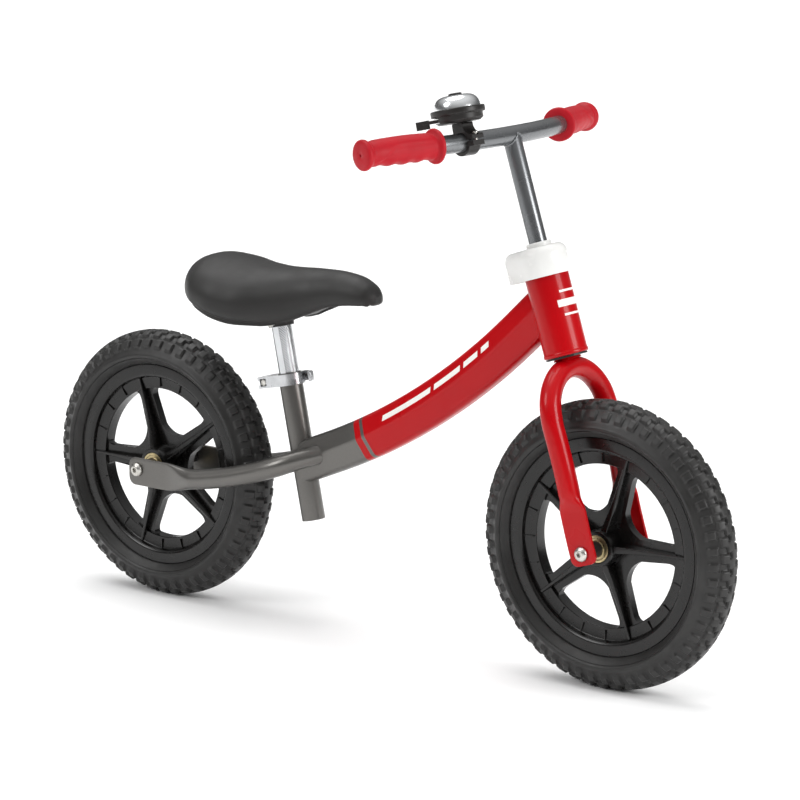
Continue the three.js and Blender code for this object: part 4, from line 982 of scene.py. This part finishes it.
# ---------------------------------------------------------------- seat clamp, post and saddle
CLAMP_HEIGHT = SEAT_TUBE_LENGTH - 12.4 / 2 - 1
CLAMP = SEAT_TUBE @ framed((1, 0, 0), (0, 1, 0), (0, 0, 1), (0, 0, CLAMP_HEIGHT))


def arc_points(radius, start, end, steps, centre=(0.0, 0.0)):
    return [(centre[0] + radius * math.cos(a), centre[1] + radius * math.sin(a))
            for a in np.linspace(start, end, steps)]


def clamp_shape():
    """A split collar with two ears behind; the right ear holds a nut in a window and ends in a notch."""
    outer, bore, slit = 15.8, 13.0, 1.2
    ears = [(-34, -slit), (-34, -15.5), (-4, -15.5)]
    collar = arc_points(outer, math.radians(-98), math.radians(98), 50)
    left_ear = [(-4, 15.5), (-21, 15.5), (-21, 11.5), (-34, 11.5), (-34, slit)]
    inside = arc_points(bore, math.pi - slit / bore, -math.pi + slit / bore, 70)
    outline = softened(ears, 1.5, endless=False) + collar + softened(left_ear, 1.5, endless=False) + inside
    body = slab([outline], -6.2, 6.2)
    window = box_shape((-26, -15.5, 0), 8.4, 9, 8.2)
    notch = box_shape((-34, -15.5, 0), 6, 9, 5)
    hole = rod_shape((-26, -20, 0), (-26, 20, 0), 2.8, 32)
    return carved(body, window, notch, hole)


def lever_shape():
    """The clamp's lever: a strap round the collar's left, a ribbed tip in front and a round head behind."""
    pivot = (-26, 19.0)
    path = Route([(pivot[0] + 5, pivot[1] + 2.4, 0), (-8, pivot[1] + 5, 0), (8, 21.5, 0), (19, 14, 0),
                  (24.5, 3, 0)])
    rows = []
    for distance in np.linspace(0, path.length, 40):
        way = path.tangent(distance)
        side = np.cross(way, (0, 0, 1))
        rows.append(ring_points(path.point(distance), side, (0, 0, 1), 1.4, 5.5, 7, 28))
    shape = skin(rows)
    for k in range(4):
        spot = path.point(path.length * (0.8 + 0.055 * k))
        shape += rod_shape(spot + (0, 0, -4.9), spot + (0, 0, 4.9), 2.0, 24, 0.6)
    head = rod_shape((pivot[0], pivot[1], -5.5), (pivot[0], pivot[1], 5.5), 6, 64, 0.8)
    return carved(head, rod_shape((pivot[0], pivot[1], -2.8), (pivot[0], pivot[1], 2.8), 7, 48),
                  rod_shape((pivot[0], pivot[1], -9), (pivot[0], pivot[1], 9), 1.9, 32)) + shape


def post_shape(pitch, depth):
    """A chromed tube with two panels of herringbone knurling and plain strips between them."""
    top = SEAT_TUBE_LENGTH + 63
    foot = top - 165
    steps, radius = 168, 11.1
    angles = np.arange(steps) * 2 * math.pi / steps
    rings = [[((radius - 1.6) * math.cos(a), (radius - 1.6) * math.sin(a), top) for a in angles],
             [((radius - 1.6) * math.cos(a), (radius - 1.6) * math.sin(a), foot) for a in angles]]
    heights = np.concatenate([[foot, foot + 1], np.arange(foot + 10, top - 4, pitch / 4.5), [top]])
    for height in heights:
        worked = float(smooth_step(foot + 12, foot + 16,
                                   height) * (1 - smooth_step(top - 8, top - 5, height)))
        row = []
        for a in angles:
            off = min(((a - centre + math.pi) % (2 * math.pi) - math.pi
                       for centre in (math.radians(-27), math.radians(153))), key=abs)
            panel = float(1 - smooth_step(0.66, 0.7, abs(off)))
            phase = (height - abs(off) * radius * 1.1) / pitch
            groove = 0.5 - 0.5 * math.cos(2 * math.pi * phase)
            spine = float(smooth_step(0.015, 0.06, abs(off)))
            r = radius - depth * worked * panel * (1 - spine * groove)
            row.append((r * math.cos(a), r * math.sin(a), height))
        rings.append(row)
    return skin(rings, endless=True)


SADDLE_REAR = -246.0
SADDLE_LENGTH = 248.0
# share along the saddle from its tail, half width, top height and skirt height
SADDLE_SECTIONS = [
    (0.0, 8, 378, 360), (0.02, 27, 385.5, 353), (0.07, 46, 393, 345), (0.15, 59, 397.5, 338),
    (0.25, 63, 396, 331),
    (0.36, 59.5, 392, 327), (0.47, 49, 391, 327), (0.57, 38, 392.3, 332), (0.67, 29, 394, 342),
    (0.78, 24, 394.2, 353), (0.89, 21.5, 391.5, 358), (0.96, 17.5, 384.5, 360), (0.99, 11, 377, 362),
    (1.0, 5, 372, 364),
]


def along_saddle(share):
    """Half width, top and skirt heights, smoothly read between the sections."""
    table = np.array(SADDLE_SECTIONS)
    return [smooth_read(share, table[:, 0], table[:, k]) for k in (1, 2, 3)]


def smooth_read(x, xs, ys):
    """Monotone cubic reading of a table, so that it never overshoots."""
    i = int(np.clip(np.searchsorted(xs, x) - 1, 0, len(xs) - 2))
    gaps = np.diff(xs)
    slopes = np.diff(ys) / gaps
    knot = np.zeros(len(xs))
    for k in range(1, len(xs) - 1):
        if slopes[k - 1] * slopes[k] > 0:
            knot[k] = 2 * slopes[k - 1] * slopes[k] / (slopes[k - 1] + slopes[k])
    knot[0], knot[-1] = slopes[0], slopes[-1]
    t = (x - xs[i]) / gaps[i]
    return float(ys[i] * (2 * t ** 3 - 3 * t ** 2 + 1) + ys[i + 1] * (3 * t ** 2 - 2 * t ** 3)
                 + gaps[i] * (knot[i] * (t ** 3 - 2 * t ** 2 + t) + knot[i + 1] * (t ** 3 - t ** 2)))


def saddle_shape():
    """The padded cover: a broad crowned tail and a narrow nose, its skirt turned in under the pan's edge."""
    shares = np.concatenate([0.5 - 0.5 * np.cos(np.linspace(0, math.pi, 66))])
    count = 72
    turn = np.arange(count) * 2 * math.pi / count
    rows = []
    for share in shares:
        half, top, foot = along_saddle(float(share))
        waist = foot + (top - foot) * 0.36
        x = SADDLE_REAR + SADDLE_LENGTH * share
        row = []
        # each section's upper half is a plain half ellipse and its lower half is squarer
        for a in turn:
            c, s = math.cos(a), math.sin(a)
            if s >= 0:
                y = half * math.copysign(abs(c) ** 1.0, c)
                z = waist + (top - waist) * abs(s) ** 1.0
            else:
                y = half * math.copysign(abs(c) ** 0.62, c) * (1 - 0.05 * abs(s))
                z = waist - (waist - foot) * abs(s) ** 0.62
            row.append((x, y, z))
        rows.append(row)
    shape = skin(rows)
    # the underside is hollow inside the skirt: its floor rises towards the middle
    points = shape.points
    for i, (x, y, z) in enumerate(points):
        share = (x - SADDLE_REAR) / SADDLE_LENGTH
        half, top, foot = along_saddle(float(np.clip(share, 0, 1)))
        inward = 1 - abs(y) / max(half, 1)
        if z < foot + 2.5 and share > 0.03 and share < 0.985:
            points[i, 2] = foot + 7.0 * float(smooth_step(0.1, 0.3, inward))
    return shape


def pan_shape():
    """The moulded pan under the padding, with a rib all round."""
    rows = []
    for share in np.linspace(0.07, 0.95, 40):
        half, _, foot = along_saddle(float(share))
        half -= 9
        rows.append([(SADDLE_REAR + SADDLE_LENGTH * share, p[0], p[1]) for p in softened(
            [(-half, foot + 10), (-half, foot + 3.2), (-half + 2, foot + 3.2), (-half + 2.4, foot + 5.4),
             (half - 2.4, foot + 5.4), (half - 2, foot + 3.2), (half, foot + 3.2), (half, foot + 10)], 0.7)])
    return skin(rows)


def pressed_in(shape):
    """Softens the seat: one shallow dip down the middle of the top, where the saddle narrows towards the
    nose.
    """
    points = shape.points
    for i, (x, y, z) in enumerate(points):
        share = (x - SADDLE_REAR) / SADDLE_LENGTH
        hollow = math.exp(-((share - 0.62) / 0.13) ** 2) * math.exp(-(y / 16) ** 2)
        points[i, 2] = z - 0.8 * hollow * (z > 370)
    return shape


class BuildSeat(bpy.types.Operator):
    """Seat clamp with its lever, chromed post, saddle cover and pan"""

    bl_idname = "bike.build_seat"
    bl_label = "Seat"

    def execute(self, context):
        sizes = context.scene.bike_sizes
        add_piece("split_collar", clamp_shape().placed(CLAMP), [FINISHES["alloy"]], "frame",
                  ["seat_clamp"], bevel=0.45, crease=30)
        add_piece("quick_lever", lever_shape().placed(CLAMP), [FINISHES["alloy"]], "clamp_lever",
                  ["seat_clamp_lever"], crease=40)
        add_piece("knurled_post", post_shape(sizes.knurl_pitch / MM,
                                             sizes.knurl_depth / MM).placed(SEAT_TUBE),
                  [FINISHES["post"]], "seat", ["seat_post"], crease=60)
        cover = add_piece("saddle_padding", pressed_in(saddle_shape()), [FINISHES["vinyl"]], "seat",
                          ["saddle_cover"], crease=70, smoother=1)
        add_piece("saddle_pan", pan_shape(), [FINISHES["pan"]], "seat", ["saddle_base"])
        dress(FINISHES["black"], "saddle_clamp")
        dress(FINISHES["zinc"], "saddle_clamp_bolt", "seat_clamp_skewer", "seat_clamp_nut", "seat_clamp_pin")
        return {"FINISHED"}


# ---------------------------------------------------------------- fork, hood and handlebar
def hood_outline(inset, steps_front=60, steps_nose=24):
    """The hood seen from above: round in front, drawn out to a smaller round nose behind."""
    front, nose, nose_x = 27 - inset, 16 - inset, -28.0
    lean = math.acos(11 / 28.0)
    points = arc_points(front, -(math.pi - lean), math.pi - lean, steps_front)
    points += arc_points(nose, math.pi - lean, math.pi + lean, steps_nose, (nose_x, 0))
    return points


def hood_shape():
    foot, height = 281.3, 31.0
    top = foot + height
    rings = [[(x, y, top - 4.2) for x, y in hood_outline(10)],
             [(x, y, top - 4.4) for x, y in hood_outline(6)],
             [(x, y, top - 8) for x, y in hood_outline(2.3)],
             [(x, y, foot + 0.6) for x, y in hood_outline(2)],
             [(x, y, foot) for x, y in hood_outline(1.6)], [(x, y, foot) for x, y in hood_outline(0.5)],
             [(x, y, foot + 0.6) for x, y in hood_outline(0)]]
    for share in np.linspace(0, 1, 9):
        turn = share * math.pi / 2
        rings.append([(x, y, top - 10.0 + 10.0 * math.sin(turn)) for x,
                      y in hood_outline(0.3 + 8.5 * (1 - math.cos(turn)))])
    rings.append([(x, y, top + 0.1) for x, y in hood_outline(11)])
    lip = turned(softened([(9.8, top - 2), (12.9, top - 2), (12.9, top + 4.5), (9.8, top + 4.5)], 1.2),
                 endless=True)
    return skin(rings) + lip


def bar_shape():
    """The swept bar with its stem, and the weld bead where they meet."""
    reach = GRIP_LENGTH - GRIP_OVERLAP - GRIP_END_WALL - JOINT_GAP
    places = [bar_place(-BAR_SWEEP, reach), bar_place(-BAR_SWEEP, reach / 2)]
    places += [bar_place(turn) for turn in np.linspace(-BAR_SWEEP, BAR_SWEEP, 41)]
    places += [bar_place(BAR_SWEEP, reach / 2), bar_place(BAR_SWEEP, reach)]
    rows = [ring_points(p, (0, 0, 1), np.cross(way, (0, 0, 1)), BAR_RADIUS, BAR_RADIUS, 2, 56) for p,
            way in places]
    bar = skin(rows)
    stem = rod_shape(at(STEERING, 0, 0, HEAD_TUBE_FOOT + 30), at(STEERING, 0, 0, BAR_HEIGHT), BAR_RADIUS, 64)
    bead = []
    for turn in np.linspace(0, 2 * math.pi, 72, endpoint=False):
        reach_out = BAR_RADIUS + 0.2
        x, y = reach_out * math.cos(turn), reach_out * math.sin(turn)
        z = BAR_HEIGHT - math.sqrt(max(BAR_RADIUS ** 2 - min(x * x, BAR_RADIUS ** 2 - 0.01), 0)) - 0.3
        ripple = 1.25 + 0.16 * math.cos(turn * 22)
        bead.append(ring_points(at(STEERING, x, y, z),
                                STEERING[:3, 0] * math.cos(turn) + STEERING[:3, 1] * math.sin(turn),
                                STEERING[:3, 2], ripple, ripple * 1.1, 2, 12))
    return bar + stem + skin(bead, endless=True)


def grip_shape(side, finger_depth):
    """A soft grip: an inner flange, a palm swell, finger grooves beneath, and a round end with a pin hole."""
    start = -GRIP_OVERLAP
    count = 96
    turn = np.arange(count) * 2 * math.pi / count
    place = grip_frame(side)
    down = math.atan2((place[:3, :3].T @ np.array([0, 0, -1.0]))[1],
                      (place[:3, :3].T @ np.array([0, 0, -1.0]))[0])
    marks = [(0.0, 9.8), (0.0, 16.2), (0.5, 17.2), (1.6, 17.8), (3.4, 17.8), (4.5, 17.2), (5.0, 16.2),
             (5.6, 14.6)]
    rows = [(start + s, np.full(count, r)) for s, r in marks]
    for s in np.linspace(7, 83, 58):
        swell = 13.0 + 0.9 * math.exp(-((s - 40) / 26) ** 2) - 0.5 * math.exp(-((s - 78) / 7) ** 2)
        below = np.clip(np.cos(turn - down), 0, 1) ** 1.4
        wave = 0.5 - 0.5 * math.cos(2 * math.pi * (s - 9) / 17.5)
        grooved = float(smooth_step(8, 13, s) * (1 - smooth_step(74, 79, s)))
        fingers = finger_depth * wave * grooved
        # a raised palm pad lies on the upper rear half and sweeps down towards the end
        edge = math.cos(0.95 + 1.15 * float(smooth_step(52, 80, s)))
        padded = float(smooth_step(6, 14, s) * (1 - smooth_step(76, 83, s)))
        pad = 1.1 * smooth_step(edge - 0.16, edge + 0.16, -np.cos(turn - down)) * padded
        rows.append((start + s, swell - fingers * below + pad))
    end_marks = [(84.0, 13.4), (85.4, 14.6), (87.0, 15.4), (88.6, 15.6), (90.2, 15.3), (91.4, 14.2),
                 (91.9, 12.0),
                 (GRIP_LENGTH, 6.0), (GRIP_LENGTH, 1.6), (91.6, 1.25), (88.4, 1.2)]
    rows += [(start + s, np.full(count, r)) for s, r in end_marks]
    rings = [np.column_stack([r * np.cos(turn), r * np.sin(turn), np.full(count, s)]) for s, r in rows]
    return skin(rings).placed(place)


class BuildSteering(bpy.types.Operator):
    """Fork, steerer, hood, handlebar and grips"""

    bl_idname = "bike.build_steering"
    bl_label = "Fork and handlebar"

    def execute(self, context):
        sizes = context.scene.bike_sizes
        add_piece("arched_fork", pressed_tube(fork_route(), 53, 20, STEERING[:3, 0], True), [FINISHES["red"]],
                  "steering", ["fork"], crease=50)
        foot = 186.5 + 8.2
        top = HEAD_TUBE_FOOT + HEAD_TUBE_LENGTH + 15.8
        neck = [(9.8, foot), (14.8, foot), (13.4, foot + 2.2), (12.7, foot + 3.4), (12.7, top), (9.8, top)]
        add_piece("steerer_tube", turned(softened(neck, 0.4), endless=True).placed(STEERING),
                  [FINISHES["red"]],
                  "steering", ["steerer"])
        add_piece("white_hood", hood_shape().placed(STEERING), [FINISHES["white"]], "steering",
                  ["stem_cover"], crease=45)
        add_piece("swept_bar", bar_shape(), [FINISHES["bar"]], "steering", ["handlebar"],
                  crease=50)
        for side, name in ((-1, "right"), (1, "left")):
            add_piece(f"soft_grip_{name}", grip_shape(side, sizes.finger_depth / MM), [FINISHES["grip"]],
                      "steering",
                      [f"grip_{name}"], crease=50)
        dress(FINISHES["black"], "stem_clamp")
        dress(FINISHES["zinc"], "stem_clamp_bolt")
        return {"FINISHED"}


# ---------------------------------------------------------------- bell
LEVER_ANGLE = math.radians(222)
LEVER_PIVOT = np.array([19.5 * math.cos(LEVER_ANGLE + 0.55), 19.5 * math.sin(LEVER_ANGLE + 0.55)])


def bell_base_shape():
    """Two tiers: a tray under a wider ring that the dome stands in, with a slot for the lever."""
    tray = turned(softened([
        (0.5, 0), (21, 0), (24.5, 2.6), (24.5, 8), (27.1, 8.3), (27.5, 9.4), (27.5, 13.6), (26.8, 14.5),
        (25.2, 14.5),
        (24.9, 9.6), (22.7, 9.5), (22.7, 2), (0.5, 2)], 0.6), endless=True, steps=120)
    spread = 0.62
    outline = [(10 * math.cos(LEVER_ANGLE - spread), 10 * math.sin(LEVER_ANGLE - spread))]
    outline += arc_points(31, LEVER_ANGLE - spread, LEVER_ANGLE + spread + 0.12, 14)
    outline += [(10 * math.cos(LEVER_ANGLE + spread), 10 * math.sin(LEVER_ANGLE + spread))]
    return carved(tray, slab([outline], 2.3, 7.5))


def bell_dome_shape():
    """A spun dome: its side stands steep, its shoulder is tight and its crown is nearly flat."""
    def outline(radius, height, foot):
        points = [(radius, foot)]
        for turn in np.linspace(0.12, math.pi / 2 - 0.02, 26):
            points.append((radius * math.cos(turn) ** 0.44, foot + height * math.sin(turn) ** 0.9))
        return points
    outer = outline(24.0, 17.0, 11.0)
    inner = outline(22.7, 15.6, 11.0)[::-1]
    crown = [(2.6, 28.0), (2.6, 26.6)]
    return turned(outer + crown + inner, endless=True, steps=128)


def bell_lever_shape():
    tip = 43 * np.array([math.cos(LEVER_ANGLE), math.sin(LEVER_ANGLE)])
    arm = tip - LEVER_PIVOT
    length, turn = np.linalg.norm(arm), math.atan2(arm[1], arm[0])
    c, s = math.cos(turn), math.sin(turn)
    place = framed((c, s, 0), (-s, c, 0), (0, 0, 1), (LEVER_PIVOT[0], LEVER_PIVOT[1], 0))
    shape = rod_shape((0, 0, 3), (0, 0, 6.4), 3.4, 40)
    shape += box_shape((length / 2 - 4, 0, 4.7), length - 8, 4.2, 3.4)
    shape += box_shape((length - 7, 0, 3.1), 14, 3.6, 8.6)
    for k in range(5):
        shape += box_shape((length - 12 + 2.6 * k, -2.0, 3.1), 1.0, 0.9, 7.2)
    return shape.placed(place)


def bell_clamp_shape():
    """A band round the bar with a neck up to the bell and an ear in front for its screw."""
    arc = arc_points(13.5, math.radians(129), math.radians(338), 40)
    outline = [(19, -5), (19, 7), (13.4, 7), (8.6, 11.2), (6.5, 15), (6.5, 19.7), (-8.5, 19.7), (-8.5, 15)]
    outline = softened(outline, 2.0, endless=False) + arc
    bore = arc_points(9.8, 0, 2 * math.pi, 49)[:-1]
    band = slab([outline, bore], -7.5, 7.5)
    # the drawing's flat plane becomes the plane across the bar
    band = band.placed(framed((1, 0, 0), (0, 0, 1), (0, -1, 0), (0, 0, 0)))
    slit = box_shape((16, 0, 1), 16, 17, 1.6)
    return carved(band, slit, rod_shape((15.5, 0, 4.6), (15.5, 0, 12), 3.4, 32))


def screw_shape():
    head = turned(softened([(0, 0), (3.2, 0), (3.2, 1.4), (2.2, 2.4), (0, 2.5)], 0.4, endless=False),
                  steps=48)
    head = carved(head, box_shape((0, 0, 2.4), 4.4, 0.9, 1.6), box_shape((0, 0, 2.4), 0.9, 4.4, 1.6))
    shank = rod_shape((0, 0, -11.6), (0, 0, 0.2), 1.6, 24)
    return (head + shank).placed(framed((1, 0, 0), (0, 1, 0), (0, 0, 1), (15.5, 0, 7.2)))


class BuildBell(bpy.types.Operator):
    """Bell with its clamp, screw, base, dome, cap, striker and thumb lever"""

    bl_idname = "bike.build_bell"
    bl_label = "Bell"

    def execute(self, context):
        add_piece("bell_band", bell_clamp_shape().placed(BELL), [FINISHES["bell"]], "steering",
                  ["bell_clamp"], bevel=0.8, crease=35)
        add_piece("bell_band_screw", screw_shape().placed(BELL), [FINISHES["zinc"]], "steering",
                  ["bell_clamp_screw"])
        add_piece("bell_tray", bell_base_shape().placed(DISH), [FINISHES["bell"]], "steering",
                  ["bell_base"], crease=35)
        add_piece("bell_bowl", bell_dome_shape().placed(DISH), [FINISHES["chrome"]], "steering",
                  ["bell_dome"], crease=60)
        cap = turned(softened([(0.5, 30.1), (5.6, 29.9), (7, 29.2), (7, 28.3), (2.5, 28.3), (2.5, 29.2),
                               (0.5, 29.2)], 0.5),
                     endless=True, steps=64)
        add_piece("bell_button", cap.placed(DISH), [FINISHES["bell"]], "steering",
                  ["bell_cap"])
        add_piece("bell_thumb_lever", bell_lever_shape().placed(DISH), [FINISHES["bell"]], "bell_lever",
                  ["bell_lever"], bevel=0.5, crease=35)
        dress(FINISHES["zinc"], "bell_pin", "bell_striker", "bell_lever_pin")
        return {"FINISHED"}


# ---------------------------------------------------------------- stage
def soft_light(name, place, aim, size, power):
    """A square lamp at a place, in metres, turned to face its aim."""
    lamp = bpy.data.lights.new(name, "AREA")
    lamp.shape, lamp.size, lamp.energy = "SQUARE", size, power
    holder = bpy.data.objects.new(name, lamp)
    holder.location = place
    holder.rotation_euler = (Vector(aim) - Vector(place)).to_track_quat("-Z", "Y").to_euler()
    bpy.context.collection.objects.link(holder)


def wide_light(name, source, spread, strength):
    """A distant bank of lamps that looks spread degrees wide from the floor."""
    lamp = bpy.data.lights.new(name, "SUN")
    lamp.energy, lamp.angle = strength, math.radians(spread)
    holder = bpy.data.objects.new(name, lamp)
    holder.rotation_euler = Vector(source).to_track_quat("Z", "Y").to_euler()
    bpy.context.collection.objects.link(holder)


class BuildStage(bpy.types.Operator):
    """Pale floor, soft studio light and the camera"""

    bl_idname = "bike.build_stage"
    bl_label = "Stage"

    def execute(self, context):
        scene = context.scene
        mesh = bpy.data.meshes.new("pale floor")
        reach = 60.0
        mesh.from_pydata([(-reach, -reach, 0), (reach, -reach, 0), (reach, reach, 0), (-reach, reach, 0)],
                         [], [(0, 1, 2, 3)])
        finish, _, _ = new_finish("matt white paper", "ffffff", 0.0, 0.9,
                                           **{"Specular IOR Level": 0.1})
        mesh.materials.append(finish)
        floor = bpy.data.objects.new("pale_floor", mesh)
        bpy.context.collection.objects.link(floor)

        world = bpy.data.worlds.new("white studio")
        world.use_nodes = True
        world.node_tree.nodes["Background"].inputs["Color"].default_value = (1.0, 1.0, 1.0, 1.0)
        # dim round the horizon and bright overhead, as under a ceiling bank
        ways = add_node(world, "ShaderNodeTexCoord").outputs["Generated"]
        height = add_node(world, "ShaderNodeSeparateXYZ", {"Vector": ways}).outputs["Z"]
        glow = add_node(world, "ShaderNodeMapRange", {
            "Value": height, "From Min": 0.25, "From Max": 0.85, "To Min": 0.13,
            "To Max": 0.8}).outputs["Result"]
        world.node_tree.links.new(glow, world.node_tree.nodes["Background"].inputs["Strength"])
        scene.world = world
        scene.view_settings.view_transform = "Standard"
        wide_light("overhead bank", (-0.3, 0.05, 1.0), 50, 1.7)
        wide_light("left bank", (-0.55, -1.0, 0.75), 24, 0.9)
        soft_light("right softbox", (2.4, 0.2, 1.1), (0.1, 0, 0.3), 1.0, 30)

        lens = bpy.data.cameras.new("camera")
        lens.lens, lens.sensor_width = 153.81, 36.0
        lens.clip_start, lens.clip_end = 0.1, 200.0
        camera = bpy.data.objects.new("camera", lens)
        azimuth, elevation, roll = (math.radians(a) for a in (37.7146, 12.0855, 0.1417))
        back = np.array([math.sin(azimuth) * math.cos(elevation), -math.cos(azimuth) * math.cos(elevation),
                         math.sin(elevation)])
        level = np.array([math.cos(azimuth), math.sin(azimuth), 0])
        rise = np.cross(back, level)
        right = level * math.cos(roll) + rise * math.sin(roll)
        up = rise * math.cos(roll) - level * math.sin(roll)
        place = np.eye(4)
        place[:3, 0], place[:3, 1], place[:3, 2] = right, up, back
        place[:3, 3] = (2.18469, -2.78515, 1.01827)
        camera.matrix_world = Matrix(place.tolist())
        bpy.context.collection.objects.link(camera)
        scene.camera = camera
        return {"FINISHED"}


class MixFinishes(bpy.types.Operator):
    """Makes the finishes from the panel's colours"""

    bl_idname = "bike.mix_finishes"
    bl_label = "Finishes"

    def execute(self, context):
        make_finishes(context.scene.bike_colours)
        return {"FINISHED"}


class BikePanel(bpy.types.Panel):
    """Sizes, colours and building steps of the bike"""

    bl_idname = "VIEW3D_PT_bike"
    bl_label = "Balance bike"
    bl_space_type = "VIEW_3D"
    bl_region_type = "UI"
    bl_category = "Bike"

    def draw(self, context):
        for group in (context.scene.bike_sizes, context.scene.bike_colours):
            column = self.layout.column()
            for key in group.__annotations__:
                column.prop(group, key)
        for step in STEPS:
            self.layout.operator(step.bl_idname)


STEPS = (MixFinishes, BuildWheels, BuildFrame, BuildSeat, BuildSteering, BuildBell, BuildStage)
CLASSES = (BikeSizes, BikeColours, *STEPS, BikePanel)


def register():
    for kind in CLASSES:
        bpy.utils.register_class(kind)
    bpy.types.Scene.bike_sizes = bpy.props.PointerProperty(type=BikeSizes)
    bpy.types.Scene.bike_colours = bpy.props.PointerProperty(type=BikeColours)


def unregister():
    del bpy.types.Scene.bike_sizes
    del bpy.types.Scene.bike_colours
    for kind in reversed(CLASSES):
        bpy.utils.unregister_class(kind)


def main():
    register()
    bpy.ops.bike.mix_finishes()
    bpy.ops.bike.build_wheels()
    bpy.ops.bike.build_frame()
    bpy.ops.bike.build_seat()
    bpy.ops.bike.build_steering()
    bpy.ops.bike.build_bell()
    bpy.ops.bike.build_stage()
    bpy.context.view_layer.update()


if __name__ == "__main__":
    main()
